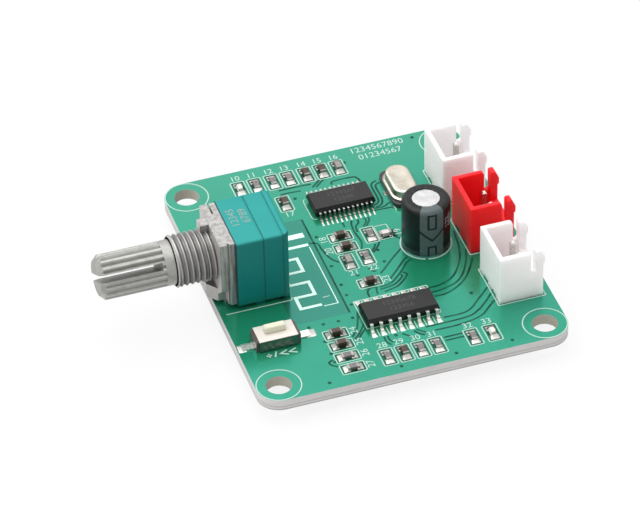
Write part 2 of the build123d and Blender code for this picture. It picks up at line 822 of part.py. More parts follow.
def chip_part_places():
    """Every two-terminal part: its node, kind, place and the way that it lies."""
    rear = ["status_lamp_rear", "chip_resistor_1", "chip_resistor_2", "chip_resistor_3",
            "chip_capacitor_1", "chip_capacitor_2", "chip_capacitor_3"]
    front = ["chip_resistor_4", "chip_capacitor_4", "chip_resistor_5", "chip_resistor_6"]
    left = ["chip_capacitor_5", "chip_capacitor_6", "chip_resistor_7", "chip_resistor_8"]
    places = [(name, x, rear_row_y, "y") for name, x in zip(rear, rear_row_x)]
    places += [(name, front_row_start_x + index * front_row_pitch, front_row_y, "y")
               for index, name in enumerate(front)]
    places += [(name, left_column_x, left_column_start_y - index * left_column_pitch, "x")
               for index, name in enumerate(left)]
    places += [
        ("chip_resistor_9", front_right_x, front_row_y, "y"),
        ("status_lamp_front", front_right_x + front_right_pitch, front_row_y, "y"),
        ("chip_capacitor_7", -6.1, 14.3, "y"),
        ("chip_capacitor_8", -1.3, 5.3, "x"),
        ("chip_capacitor_9", -1.3, 2.95, "x"),
        ("chip_resistor_10", 2.55, 4.4, "y"),
        ("chip_bead", 4.45, 3.75, "x"),
        ("chip_capacitor_10", -1.9, 0.0, "y"),
        ("chip_resistor_11", 0.6, 0.2, "y"),
        ("chip_capacitor_11", -0.6, -4.8, "x"),
    ]
    return places


def part_for(name):
    """The solid of one two-terminal part, by what its name says it is."""
    if name.startswith("status_lamp"):
        return chip_lamp()
    if name.startswith("chip_resistor"):
        return chip_part(resistor_height)
    if name.startswith("chip_bead"):
        return chip_part(bead_height)
    return chip_part(ceramic_height)


def solder_cone():
    """A cone of solder that hangs from the board, made from flat faces."""
    rings = []
    for radius, z in ((solder_base_radius, 0), (solder_tip_radius, -solder_height)):
        angles = [2 * math.pi * side / solder_sides for side in range(solder_sides)]
        rings.append([(radius * math.cos(a), radius * math.sin(a), z) for a in angles])
    upper, lower = rings
    faces = [Face(Wire.make_polygon(ring)) for ring in rings]
    for side in range(solder_sides):
        corners = [upper[side - 1], upper[side], lower[side], lower[side - 1]]
        faces.append(Face(Wire.make_polygon(corners)))
    return Solid(Shell(faces))


# Solder cones under the board, round every lead that comes through it
def solder_joints():
    cones = []
    leads = [(x, y, terminal_thickness, terminal_width) for x, y in terminal_places()]
    for centre_y in header_row_y:
        leads += [(x, y, pin_size, pin_size) for x, y in header_pin_places(centre_y)]
    cone = solder_cone()
    for x, y, size_x, size_y in leads:
        lead = Pos(0, 0, -solder_height / 2) * Box(size_x, size_y, solder_height)
        cones.append(Pos(x, y, 0) * (cone - lead))
    wire = many_sided(capacitor_lead_diameter / 2 + seat_gap, solder_sides)
    wire = extrude(wire, -solder_height)
    for x, y in capacitor_lead_places():
        cones.append(Pos(x, y, 0) * (cone - wire))
    return Compound(children=cones)


def save(name, shape):
    """Write one named piece."""
    shape.label = name
    export_step(shape, os.path.join("parts", name + ".step"))


def main():
    os.makedirs("parts", exist_ok=True)
    save("circuit_board", circuit_board())
    save("volume_bushing_plate", volume_bushing_plate())
    save("volume_front_case", volume_front_case())
    save("volume_rear_case", volume_rear_case())
    save("volume_end_cover", volume_end_cover())
    save("volume_track_front", track_plate(plate_rear_x))
    save("volume_track_rear", track_plate(front_case_end_x))
    save("volume_terminals", volume_terminals())
    save("volume_shaft", volume_shaft())
    save("volume_rotor_front", rotor(0))
    save("volume_rotor_rear", rotor(1))
    save("volume_wipers", volume_wipers())
    save("switch_base", switch_base())
    save("switch_cover", switch_cover())
    save("switch_button", switch_button())
    save("switch_dome", switch_dome())
    save("switch_terminals", Compound(children=switch_terminal_strips()))
    for label, centre_y in zip(("front_speaker", "power", "rear_speaker"), header_row_y):
        save(label + "_header", header_housing(centre_y))
        save(label + "_pins", header_pins(centre_y))
    save("capacitor_can", capacitor_can())
    save("capacitor_sleeve", capacitor_sleeve())
    save("capacitor_leads", capacitor_leads())
    save("crystal_can", crystal_can())
    save("crystal_insulator", crystal_insulator())
    save("crystal_leads", Compound(children=crystal_lead_strips()))
    save("amplifier_chip", chip_body(amplifier_y, amplifier_length))
    save("amplifier_chip_leads", chip_leads(amplifier_y, amplifier_pitch,
                                            amplifier_leads_per_side, amplifier_lead_width))
    save("radio_chip", chip_body(radio_y, radio_length))
    save("radio_chip_leads", chip_leads(radio_y, radio_pitch, radio_leads_per_side,
                                        radio_lead_width))
    for name, x, y, way in chip_part_places():
        turn = 90 if way == "y" else 0
        save(name, Pos(x, y, top) * Rot(0, 0, turn) * part_for(name))
    save("solder_joints", solder_joints())


main()
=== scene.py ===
import bmesh
import bpy
import numpy as np
from bpy.props import FloatProperty, FloatVectorProperty, PointerProperty
from bpy.types import Operator, Panel, PropertyGroup
from mathutils import Matrix, Vector


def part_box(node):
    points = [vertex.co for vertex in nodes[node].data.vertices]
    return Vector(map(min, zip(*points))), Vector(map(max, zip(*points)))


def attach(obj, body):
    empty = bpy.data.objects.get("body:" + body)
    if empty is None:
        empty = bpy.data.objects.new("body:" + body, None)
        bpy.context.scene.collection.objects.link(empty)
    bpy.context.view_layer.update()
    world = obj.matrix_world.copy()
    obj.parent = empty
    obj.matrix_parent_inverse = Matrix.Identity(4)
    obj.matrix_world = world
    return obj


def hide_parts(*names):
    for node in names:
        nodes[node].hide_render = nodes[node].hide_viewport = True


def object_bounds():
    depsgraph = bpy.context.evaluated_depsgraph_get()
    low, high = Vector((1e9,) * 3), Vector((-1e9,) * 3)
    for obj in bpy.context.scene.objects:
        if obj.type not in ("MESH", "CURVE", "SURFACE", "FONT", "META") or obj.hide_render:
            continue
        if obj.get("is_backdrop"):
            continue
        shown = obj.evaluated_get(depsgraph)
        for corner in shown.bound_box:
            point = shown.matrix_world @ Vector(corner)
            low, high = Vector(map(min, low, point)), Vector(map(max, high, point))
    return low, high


bl_info = {
    "name": "Amplifier Board Dress",
    "version": (1, 0, 0),
    "blender": (4, 5, 0),
    "location": "3D View > Sidebar > Amplifier Board",
    "description": "Finishes, print, solder and thread for a small audio amplifier board",
    "category": "Object",
}

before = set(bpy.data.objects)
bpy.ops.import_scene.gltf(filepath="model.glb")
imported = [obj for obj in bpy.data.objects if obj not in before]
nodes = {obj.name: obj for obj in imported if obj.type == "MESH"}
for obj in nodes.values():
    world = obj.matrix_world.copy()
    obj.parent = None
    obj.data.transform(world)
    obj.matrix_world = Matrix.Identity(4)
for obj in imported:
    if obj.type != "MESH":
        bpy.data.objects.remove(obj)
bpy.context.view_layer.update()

# Millimetres, in the board's own frame, unless a name or a comment says otherwise
MM = 0.001
BOARD_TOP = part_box("circuit_board")[1].z / MM
HOLE_X, HOLE_Y = 18.0, 20.0  # the fixing holes' distance from the board's centre
HOLE_REACH_SQUARED = 5.0  # of a circle round a fixing hole that takes in its wall
THREAD_CREST = 3.5  # the bushing's radius
KNURL_LENGTH = 8.7  # from the shaft's tip
LEAD_PITCH = {"amplifier_chip": 1.27, "radio_chip": 0.65}


def low_high(node):
    """The lowest and highest corners of a CAD node, in millimetres."""
    low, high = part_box(node)
    return np.array(low) / MM, np.array(high) / MM


def middle(node):
    """The centre of a CAD node, in millimetres."""
    low, high = low_high(node)
    return (low + high) / 2


def link(thing):
    """Put an object in the scene."""
    bpy.context.scene.collection.objects.link(thing)


# Shader maths


class Wire:
    """One output socket, on which Python's operators stand for Math nodes."""

    def __init__(self, finish, socket):
        self.finish = finish
        self.socket = socket

    def math(self, operation, *others):
        values = dict(enumerate((self,) + others))
        return self.finish.node("ShaderNodeMath", {"operation": operation}, values)

    def __add__(self, other):
        return self.math("ADD", other)

    __radd__ = __add__

    def __mul__(self, other):
        return self.math("MULTIPLY", other)

    __rmul__ = __mul__

    def __sub__(self, other):
        return self.math("SUBTRACT", other)

    def __rsub__(self, other):
        return (self * -1.0).math("ADD", other)

    def __truediv__(self, other):
        return self.math("DIVIDE", other)

    def __abs__(self):
        return self.math("ABSOLUTE")

    def __gt__(self, other):
        return self.math("GREATER_THAN", other)

    def __lt__(self, other):
        return self.math("LESS_THAN", other)

    def both(self, other):
        """1 where two masks are both 1."""
        return self.math("MULTIPLY", other)

    def either(self, other):
        """1 where at least one of two masks is 1."""
        return self.math("MAXIMUM", other)

    def between(self, low, high):
        """1 from low to high."""
        return (self > low).both(self < high)

    def near(self, value, reach):
        """1 within reach of a value."""
        return abs(self - value) < reach

    def soft(self, low, high):
        """0 below low and 1 above high, with a smooth rise between them."""
        return self.finish.node("ShaderNodeMapRange", {"interpolation_type": "SMOOTHSTEP"},
                                {"Value": self, "From Min": low, "From Max": high})


class Finish:
    """A material being made: its node tree and its shader, whose fixed sockets are set first."""

    def __init__(self, name, colour, roughness, metallic=0.0, fixed=None):
        self.material = bpy.data.materials.new(name)
        self.material.use_nodes = True
        self.tree = self.material.node_tree
        self.shader = self.tree.nodes["Principled BSDF"]
        self.plug(self.shader.inputs["Base Color"], colour)
        self.plug(self.shader.inputs["Roughness"], roughness)
        self.plug(self.shader.inputs["Metallic"], metallic)
        for socket, value in (fixed or {}).items():
            self.shader.inputs[socket].default_value = value
        self.material.diffuse_color = (*colour[:3], 1.0)

    def node(self, kind, settings=None, values=None, out=0):
        """Any node: its settings are set first, then the values or links of its sockets."""
        made = self.tree.nodes.new(kind)
        for name, value in (settings or {}).items():
            setattr(made, name, value)
        for key, value in (values or {}).items():
            self.plug(made.inputs[key], value)
        return Wire(self, made.outputs[out])

    def plug(self, socket, value):
        """Link a wire to a socket, or give the socket a value."""
        if isinstance(value, Wire):
            self.tree.links.new(value.socket, socket)
        elif socket.type == "RGBA":
            socket.default_value = (*value[:3], 1.0)
        else:
            socket.default_value = value

    def split(self, vector):
        """A vector's three numbers as wires."""
        parts = self.tree.nodes.new("ShaderNodeSeparateXYZ")
        self.plug(parts.inputs[0], vector)
        return [Wire(self, parts.outputs[axis]) for axis in range(3)]

    def place(self):
        """The three Object coordinates as wires, in millimetres."""
        point = self.node("ShaderNodeTexCoord", out=3)
        return [part * (1.0 / MM) for part in self.split(point)]

    def facing(self):
        """The surface's own direction along X, Y and Z, as wires."""
        return self.split(self.node("ShaderNodeNewGeometry", out=3))

    def noise(self, per_mm, detail=2.0, stretch=(1.0, 1.0, 1.0)):
        """Cloudy noise from 0 to 1, with about per_mm features in a millimetre."""
        point = self.node("ShaderNodeTexCoord", out=3)
        scaled = self.node("ShaderNodeVectorMath", {"operation": "MULTIPLY"}, {0: point, 1: stretch})
        return self.node("ShaderNodeTexNoise", None,
                         {"Vector": scaled, "Scale": per_mm / MM, "Detail": detail})

    def blend(self, mask, first, second):
        """The first colour where the mask is 0, the second where it is 1."""
        return self.node("ShaderNodeMix", {"data_type": "RGBA"}, {0: mask, 6: first, 7: second}, out=2)

    def shade(self, mask, colour, low, high):
        """A colour times one factor where the mask is 0 and times another where it is 1."""
        return self.blend(mask, tinted(colour, low), tinted(colour, high))

    def colour(self, value):
        self.plug(self.shader.inputs["Base Color"], value)

    def roughness(self, value):
        self.plug(self.shader.inputs["Roughness"], value)

    def metal(self, value):
        self.plug(self.shader.inputs["Metallic"], value)

    def relief(self, height, depth_mm, rounding_mm=0.0):
        """Raise the surface in the light by depth_mm where height is 1, and shade its edges
        as if they were rounded by rounding_mm."""
        values = {"Height": height, "Distance": depth_mm * MM, "Strength": 1.0}
        if rounding_mm:
            values["Normal"] = self.node("ShaderNodeBevel", {"samples": 6}, {"Radius": rounding_mm * MM})
        self.plug(self.shader.inputs["Normal"], self.node("ShaderNodeBump", None, values))

    def over(self, mask, shader):
        """Show another shader where the mask is 1."""
        mix = self.tree.nodes.new("ShaderNodeMixShader")
        self.plug(mix.inputs[0], mask)
        self.tree.links.new(self.shader.outputs[0], mix.inputs[1])
        self.tree.links.new(shader.outputs[0], mix.inputs[2])
        self.tree.links.new(mix.outputs[0], self.tree.nodes["Material Output"].inputs[0])

    def radius_about(self, centre_y, centre_z):
        """Distance in millimetres from a line along X."""
        _, y, z = self.place()
        up, out = z - centre_z, y - centre_y
        return (up * up + out * out).math("SQRT")


def dress(finish, *names):
    """Give CAD nodes a finish."""
    for name in names:
        nodes[name].data.materials.clear()
        nodes[name].data.materials.append(finish.material)


def tinted(colour, factor):
    """A colour made lighter or darker."""
    return tuple(min(1.0, channel * factor) for channel in colour[:3])


# Surfaces


def grid_faces(rows, columns, wrap_rows=False, wrap_columns=False):
    """The four-sided faces of a grid of points numbered row by row."""
    number = np.arange(rows * columns).reshape(rows, columns)
    if wrap_rows:
        number = np.vstack([number, number[:1]])
    if wrap_columns:
        number = np.hstack([number, number[:, :1]])
    corners = (number[:-1, :-1], number[1:, :-1], number[1:, 1:], number[:-1, 1:])
    return np.stack(corners, -1).reshape(-1, 4)


class Pile:
    """Points and faces of many small shapes that are gathered into one piece."""

    def __init__(self):
        self.points = []
        self.faces = []
        self.count = 0

    def add(self, points, faces):
        points = np.asarray(points, float).reshape(-1, 3)
        self.points.append(points)
        self.faces += [tuple(int(i) + self.count for i in face) for face in faces]
        self.count += len(points)

    def piece(self, name, finish, slot, body="board", smooth=False):
        """One object that holds everything gathered, in metres, riding on a body."""
        mesh = bpy.data.meshes.new(name)
        mesh.from_pydata((np.vstack(self.points) * MM).tolist(), [], self.faces)
        mesh.validate()
        if smooth:
            mesh.shade_smooth()
        mesh.materials.append(finish.material)
        piece = bpy.data.objects.new(name, mesh)
        link(piece)
        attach(piece, body)
        return piece


def loft(rings, closed=False):
    """Rings of points joined in order, with flat ends unless the row of rings is closed."""
    count, around = rings.shape[:2]
    faces = [tuple(face) for face in grid_faces(count, around, closed, True)]
    if not closed:
        faces.append(tuple(range(around)))
        faces.append(tuple(reversed(range((count - 1) * around, count * around))))
    return rings.reshape(-1, 3), faces


def ribbon(path, width, thickness, level=BOARD_TOP, closed=False):
    """A printed line: a flat four-sided section carried along a path in the board's plane.

    At each point the section stands square to the mean of the runs on both sides and is
    widened by one over the cosine of half the bend, so the line keeps its width at corners.
    """
    path = np.asarray(path, float)
    if closed:
        after = np.roll(path, -1, 0) - path
        after /= np.linalg.norm(after, axis=1, keepdims=True)
        before = np.roll(after, 1, 0)
    else:
        runs = np.diff(path, axis=0)
        runs /= np.linalg.norm(runs, axis=1, keepdims=True)
        before = np.vstack([runs[:1], runs])
        after = np.vstack([runs, runs[-1:]])
    along = before + after
    along /= np.linalg.norm(along, axis=1, keepdims=True)
    across = np.stack([-along[:, 1], along[:, 0]], 1)
    widen = 1.0 / np.clip((along * after).sum(1), 0.35, 1.0)
    side = np.array([-0.5, -0.5, 0.5, 0.5])
    height = level + thickness * np.array([-0.5, 1.0, 1.0, -0.5])
    flat = path[:, None] + across[:, None] * (side[:, None] * width * widen[:, None, None])
    rings = np.concatenate([flat, np.broadcast_to(height[:, None], flat.shape[:2] + (1,))], 2)
    return loft(rings, closed)


def arc(centre, radius, start, end, steps):
    """Points on a circle, from one angle to another in degrees."""
    angle = np.radians(np.linspace(start, end, steps))
    return np.stack([centre[0] + radius * np.cos(angle), centre[1] + radius * np.sin(angle)], 1)


def box_path(centre, half_x, half_y, corner):
    """The outline of a rectangle with round corners, anticlockwise."""
    x, y = half_x - corner, half_y - corner
    corners = [(x, y, 0), (-x, y, 90), (-x, -y, 180), (x, -y, 270)]
    return np.vstack([arc((centre[0] + cx, centre[1] + cy), corner, turn, turn + 90, 4)
                      for cx, cy, turn in corners])


def smooth_path(points, steps=6):
    """A path through the points with each bend rounded by a Catmull-Rom cubic."""
    p = np.asarray(points, float)
    p = np.vstack([2 * p[0] - p[1], p, 2 * p[-1] - p[-2]])
    t = np.linspace(0, 1, steps, endpoint=False)[:, None, None]
    a, b, c, d = p[:-3], p[1:-2], p[2:-1], p[3:]
    curve = 0.5 * (2 * b + (c - a) * t + (2 * a - 5 * b + 4 * c - d) * t ** 2
                   + (3 * b - a - 3 * c + d) * t ** 3)
    return np.vstack([curve.transpose(1, 0, 2).reshape(-1, 2), p[-2:-1]])


def turn_and_move(points, turn, centre, level):
    """Points turned about Z by an angle in degrees, then moved to a centre and a level."""
    cos, sin = np.cos(np.radians(turn)), np.sin(np.radians(turn))
    x, y, z = np.moveaxis(points, -1, 0)
    return np.stack([x * cos - y * sin + centre[0], x * sin + y * cos + centre[1], z + level], -1)


def mound(centre, turn, reach, width, height, flare=0.0, level=BOARD_TOP, cells=8):
    """A solder fillet: a height field over a rectangle that starts at centre and runs out.

    Over u from 0 to 1 along its reach and v from -1 to 1 across, the height is
    height (1 - u)^1.6 (1 - v^6) plus a thin coat, and the border comes down to the board.
    The rectangle grows by the flare along its reach.
    """
    u, v = np.meshgrid(np.linspace(0, 1, cells + 1), np.linspace(-1, 1, cells + 1), indexing="ij")
    coat = 0.05 * (1 - u ** 8) * (1 - v ** 8)
    rise = height * (1 - u) ** 1.6 * (1 - v ** 6) + coat
    rise[np.abs(v) == 1] = -0.01
    rise[-1] = -0.01
    points = np.stack([u * reach, v * width / 2 * (1 + flare * u), rise], -1)
    return turn_and_move(points, turn, centre, level), grid_faces(cells + 1, cells + 1)


def round_shoulder(wall, top, radius, steps):
    """A quarter circle of a profile, from an upright wall into a flat top."""
    turn = np.radians(np.linspace(0, 90, steps))
    return np.stack([wall - radius * (1 - np.cos(turn)), top - radius * (1 - np.sin(turn))], 1)


def disc(centre, radius, thickness, level=BOARD_TOP, sides=14):
    """A thin round dot with an upright rim."""
    ring = arc(centre, radius, 0, 360, sides + 1)[:-1]
    low = np.column_stack([ring, np.full(sides, level - thickness)])
    high = np.column_stack([ring, np.full(sides, level + thickness)])
    return loft(np.stack([low, high]))


def numeral(text, size, centre, turn=0.0, level=BOARD_TOP, thickness=0.02):
    """Plain digits as a thin solid: the built-in letter outlines, filled and given a depth."""
    curve = bpy.data.curves.new("numeral", "FONT")
    curve.body = text
    curve.size = size
    curve.align_x = "CENTER"
    curve.align_y = "CENTER"
    curve.extrude = thickness
    curve.resolution_u = 3
    holder = bpy.data.objects.new("numeral", curve)
    link(holder)
    graph = bpy.context.evaluated_depsgraph_get()
    mesh = bpy.data.meshes.new_from_object(holder.evaluated_get(graph))
    points = np.empty(len(mesh.vertices) * 3)
    mesh.vertices.foreach_get("co", points)
    points = points.reshape(-1, 3)
    faces = [tuple(polygon.vertices) for polygon in mesh.polygons]
    bpy.data.objects.remove(holder)
    bpy.data.meshes.remove(mesh)
    return turn_and_move(points, turn, centre, level), faces


# What lies on the board, read from the frame

CHIP_PARTS = sorted(name for name in nodes
                    if name.startswith(("chip_resistor", "chip_capacitor", "chip_bead",
                                        "status_lamp")))
HEADERS = ("front_speaker", "power", "rear_speaker")


def lies_along_y(node):
    """Whether a two-terminal part's length runs along Y."""
    low, high = low_high(node)
    return high[1] - low[1] > high[0] - low[0]


# Settings that a user would change


def colour_setting(name, description, default):
    return FloatVectorProperty(name=name, description=description, subtype="COLOR", default=default)


class BoardSettings(PropertyGroup):
    mask: colour_setting("Solder mask", "Green over the copper", (0.010, 0.182, 0.090))
    bare_mask: colour_setting("Mask without copper", "Green where there is no copper under it",
                              (0.014, 0.100, 0.060))
    laminate: colour_setting("Cut laminate", "The board's sawn edges", (0.70, 0.685, 0.68))
    silk: colour_setting("Printed white", "Outlines and numbers", (0.43, 0.59, 0.52))
    line_width: FloatProperty(name="Outline width", description="Width of the printed outlines",
                              default=0.15 * MM, unit="LENGTH")
    digit_height: FloatProperty(name="Digit size", description="Size of the printed numbers",
                                default=1.4 * MM, unit="LENGTH")


class MetalSettings(PropertyGroup):
    solder: colour_setting("Solder", "Bright tin on pads and leads", (0.56, 0.56, 0.52))
    steel: colour_setting("Steel", "Folded and drawn covers", (0.70, 0.67, 0.61))


class VolumeSettings(PropertyGroup):
    moulding: colour_setting("Teal moulding", "The two cases and cover", (0.002, 0.285, 0.265))
    casting: colour_setting("Zinc casting", "The bushing plate", (0.39, 0.38, 0.37))
    shaft: colour_setting("Shaft", "The knurled shaft", (0.37, 0.37, 0.35))
    thread_pitch: FloatProperty(name="Thread pitch", description="Along the bushing, per turn",
                                default=0.75 * MM, unit="LENGTH")
    thread_depth: FloatProperty(name="Thread depth", description="From crest to root",
                                default=0.30 * MM, unit="LENGTH")


class PlasticSettings(PropertyGroup):
    white: colour_setting("White nylon", "The speaker headers", (0.91, 0.85, 0.86))
    red: colour_setting("Red nylon", "The power header", (0.76, 0.008, 0.012))
    epoxy: colour_setting("Chip moulding", "Dark epoxy", (0.006, 0.006, 0.006))
    sleeve: colour_setting("Capacitor sleeve", "Shrunk film", (0.006, 0.007, 0.007))
    stripe: colour_setting("Sleeve stripe", "Grey band on the sleeve", (0.085, 0.108, 0.112))
    cream: colour_setting("Button", "The push button's key", (0.70, 0.69, 0.54))


class StageSettings(PropertyGroup):
    focal_length: FloatProperty(name="Focal length", description="In millimetres of lens", default=241.63)
    sky: FloatProperty(name="Sky", description="Strength of the light from all round", default=0.66)
    lamp_power: FloatProperty(name="Lamp", description="Power of the lamp overhead",
                              default=5.2, unit="POWER")
    floor: colour_setting("Floor", "Colour of the table", (0.72, 0.72, 0.72))


class DressSettings(PropertyGroup):
    board: PointerProperty(type=BoardSettings)
    metals: PointerProperty(type=MetalSettings)
    volume: PointerProperty(type=VolumeSettings)
    plastics: PointerProperty(type=PlasticSettings)
    stage: PointerProperty(type=StageSettings)


def settings():
    return bpy.context.scene.board_dress


# Finishes

MASK_SHEEN = {"IOR": 2.5, "Specular Tint": (0.2, 1.0, 0.86, 1.0)}


def solder_finish():
    """Bright tin: a cloudy mirror that is a little rough where it froze."""
    colour = settings().metals.solder
    finish = Finish("bright_solder", colour, 0.4, 0.7)
    cloud = finish.noise(1.6, 3.0)
    finish.colour(finish.shade(cloud, colour, 0.82, 1.1))
    finish.roughness(cloud * 0.25 + 0.3)
    finish.relief(cloud, 0.03)
    return finish


def tin_finish(name, upright):
    """Tin plate with fine streaks, and painted shade where it stands up: there its colour is times upright.
    """
    colour = tinted(settings().metals.solder, 1.55)
    finish = Finish(name, colour, 0.28, 1.0)
    streak = finish.noise(2.5, 2.0, (1.0, 4.0, 1.0))
    # painted shade: faces that stand up take the colour times upright
    flat = finish.facing()[2].soft(0.3, 0.8)
    finish.colour(finish.blend(flat, tinted(colour, upright), colour))
    finish.roughness(streak * 0.2 + 0.18)
    return finish


def mask_finish():
    """Solder mask over copper on both faces, and cut glass laminate on every edge."""
    look = settings().board
    finish = Finish("solder_mask", look.mask, 0.2, 0.0, MASK_SHEEN)
    x, y, z = finish.place()
    facing_z = finish.facing()[2]
    cloud = finish.noise(0.12, 2.0)
    green = finish.shade(cloud, look.mask, 0.88, 1.12)
    keep_out = x.between(-12.7, -5.0).both(y.between(-9.7, 10.6)).both(z > BOARD_TOP / 2)
    # painted sheen: the green is made lighter towards the board's rear, standing in for a stronger
    # reflection there
    green = finish.blend(y.soft(6.0, 23.0) * 0.4, green, (0.06, 0.24, 0.15))
    green = finish.blend(keep_out * 0.85, green, look.bare_mask)
    grain = finish.noise(1.4, 3.0, (0.25, 0.25, 3.0))
    cut = finish.shade(grain, look.laminate, 0.72, 1.1)
    glass = z.near(BOARD_TOP * 0.36, 0.13)
    cut = finish.blend(glass * 0.5, cut, tinted(look.laminate, 0.55))
    cut = finish.blend((z < 0.2) * 0.6, cut, tinted(look.laminate, 0.4))
    across, along = abs(x) - HOLE_X, abs(y) - HOLE_Y
    hole = (across * across + along * along) < HOLE_REACH_SQUARED
    cut = finish.blend(hole, cut, (0.54, 0.52, 0.45))
    finish.colour(green)
    finish.roughness(cloud * 0.08 + 0.13)
    finish.relief(finish.noise(0.7, 2.0), 0.004)
    sawn = finish.tree.nodes.new("ShaderNodeBsdfPrincipled")
    finish.plug(sawn.inputs["Base Color"], cut)
    finish.plug(sawn.inputs["Roughness"], 0.6)
    finish.over(1.0 - (abs(facing_z) > 0.5), sawn)
    return finish


def silk_finish(name, strength):
    """White print, speckled, its colour times a strength."""
    colour = tinted(settings().board.silk, strength)
    finish = Finish(name, colour, 0.5)
    speckle = finish.noise(4.0, 2.0)
    finish.colour(finish.shade(speckle, colour, 0.8, 1.1))
    return finish


def gap_finish():
    """Darker green where the copper is etched away beside a track."""
    look = settings().board
    finish = Finish("etched_gap", tinted(look.mask, 0.2), 0.3, 0.0,
                    {"IOR": 1.45, "Specular Tint": MASK_SHEEN["Specular Tint"]})
    cloud = finish.noise(0.5)
    finish.colour(finish.shade(cloud.soft(0.3, 0.7), look.mask, 0.08, 0.45))
    return finish


def casting_finish():
    """Zinc as it left the die: rough grey metal, streaked on its upright sides, with painted shade on those
    sides and faintly on its top, painted light on its front faces, and painted shade inside the bushing's
    mouth.
    """
    colour = settings().volume.casting
    finish = Finish("zinc_casting", colour, 0.5, 0.85)
    flow = finish.noise(1.6, 5.0)
    streak = finish.noise(2.2, 3.0, (1.0, 1.0, 0.1))
    upright = 1.0 - abs(finish.facing()[2]).soft(0.4, 0.7)
    base = finish.shade(flow.soft(0.25, 0.75), colour, 0.66, 1.22)
    # painted shade: the upright sides are darker, partly real die streaks and partly painted shade
    side = finish.shade(streak.soft(0.35, 0.65), colour, 0.36, 1.1)
    # painted shade: faces that look up are made a little darker
    base = finish.blend(finish.facing()[2].soft(0.3, 0.9) * 0.12, base, tinted(colour, 0.45))
    base = finish.blend(upright * 0.7, base, side)
    # painted light: faces that look forward, along -X, are made lighter
    base = finish.blend(1.0 - finish.facing()[0].soft(-0.9, -0.4), base, tinted(colour, 1.5))
    tip = low_high("volume_bushing_plate")[0][0]
    shaft = middle("volume_shaft")
    # painted shade: near black inside the bushing's mouth, standing in for the shadow in the gap round the
    # shaft
    mouth = (finish.radius_about(shaft[1], shaft[2]) < 3.3).both(finish.place()[0] < tip + 0.6)
    finish.colour(finish.blend(mouth, base, (0.02, 0.02, 0.02)))
    finish.roughness(flow * 0.3 + 0.38)
    finish.relief(finish.noise(2.4, 4.0), 0.05, 0.15)
    return finish


def thread_finish():
    """The cut thread: a painted highlight on its crests and painted shade in its roots."""
    colour = settings().volume.casting
    finish = Finish("bushing_thread", colour, 0.45, 0.85)
    shaft = middle("volume_shaft")
    depth = settings().volume.thread_depth / MM
    crest = finish.radius_about(shaft[1], shaft[2]).soft(THREAD_CREST - 0.55 * depth, THREAD_CREST)
    streak = finish.noise(1.6, 4.0, (1.0, 0.4, 0.4))
    # painted highlight on the crests and painted shade in the roots, with real streaks through both
    bright = finish.shade(streak, colour, 0.85, 1.6)
    root = finish.shade(streak, colour, 0.25, 0.7)
    finish.colour(finish.blend(crest, root, bright))
    finish.roughness(streak * 0.25 + 0.34)
    finish.relief(streak, 0.02)
    return finish


def shaft_finish():
    """The shaft's satin metal, streaked along its length, with painted shade in the knurl's grooves and
    inside the bushing's mouth, and painted light on its underside.
    """
    colour = settings().volume.shaft
    finish = Finish("shaft_metal", colour, 0.5, 0.7)
    low, high = low_high("volume_shaft")
    centre = (low + high) / 2
    crest = finish.radius_about(centre[1], centre[2]).soft(2.7, 2.98)
    streak = finish.noise(1.5, 4.0, (0.12, 1.0, 1.0))
    mottle = finish.noise(1.1, 4.0)
    worn = finish.shade(streak, colour, 0.8, 1.2)
    worn = finish.blend(mottle.soft(0.3, 0.8) * 0.5, worn, tinted(colour, 0.6))
    x = finish.place()[0]
    knurled = (x < low[0] + KNURL_LENGTH).both(x > low[0] + 0.7).both(1.0 - crest)
    # painted shade in the knurl's grooves
    deep = (finish.radius_about(centre[1], centre[2]) > 2.6).both(knurled)
    base = finish.blend(deep * 0.5, worn, tinted(colour, 0.35))
    # painted light: faces that look down are made lighter, standing in for light thrown up from below
    under = 1.0 - finish.facing()[2].soft(-0.7, 0.1)
    base = finish.blend(under, base, tinted(colour, 1.7))
    # painted shade: the shaft is near black where it goes into the bushing
    mouth = x > low_high("volume_bushing_plate")[0][0] - 0.12
    finish.colour(finish.blend(mouth, base, (0.015, 0.015, 0.015)))
    finish.roughness(streak * 0.2 + 0.4)
    finish.relief(mottle, 0.03, 0.06)
    return finish


def teal_finish():
    """Moulded teal with soft edges and dark seams, with painted shade on its upright sides, a painted shadow
    line where it meets the plate, and painted shade and green reflection towards its foot.
    """
    colour = settings().volume.moulding
    finish = Finish("teal_moulding", colour, 0.45, 0.0, {"IOR": 1.4})
    x, _, z = finish.place()
    cloud = finish.noise(0.35, 3.0, (0.4, 1.0, 1.0))
    # painted shade: upright sides take the colour times 0.62
    upward = finish.facing()[2].soft(0.05, 0.95)
    base = finish.blend(upward, tinted(colour, 0.62), colour)
    base = finish.blend(cloud * 0.3, base, tinted(colour, 0.55))
    low, high = low_high("volume_front_case")
    # painted shadow: a dark line along the case's front, where it meets the plate
    plate_gap_shadow = x < low[0] + 0.16
    second_seam = x.near(low_high("volume_rear_case")[1][0], 0.04) * 0.4
    seam = x.near(high[0], 0.06).either(second_seam)
    base = finish.blend(seam * 0.5, base, tinted(colour, 0.3))
    base = finish.blend(plate_gap_shadow * 0.85, base, (0.004, 0.02, 0.03))
    # painted shade and painted reflection of the green board: darker and greener towards the case's foot
    foot = 1.0 - z.soft(low[2] + 0.3, low[2] + 2.2)
    finish.colour(finish.blend(foot * 0.45, base, (0.0, 0.12, 0.085)))
    finish.roughness(cloud * 0.15 + 0.38)
    finish.relief(1.0 - seam, 0.03, 0.55)
    return finish


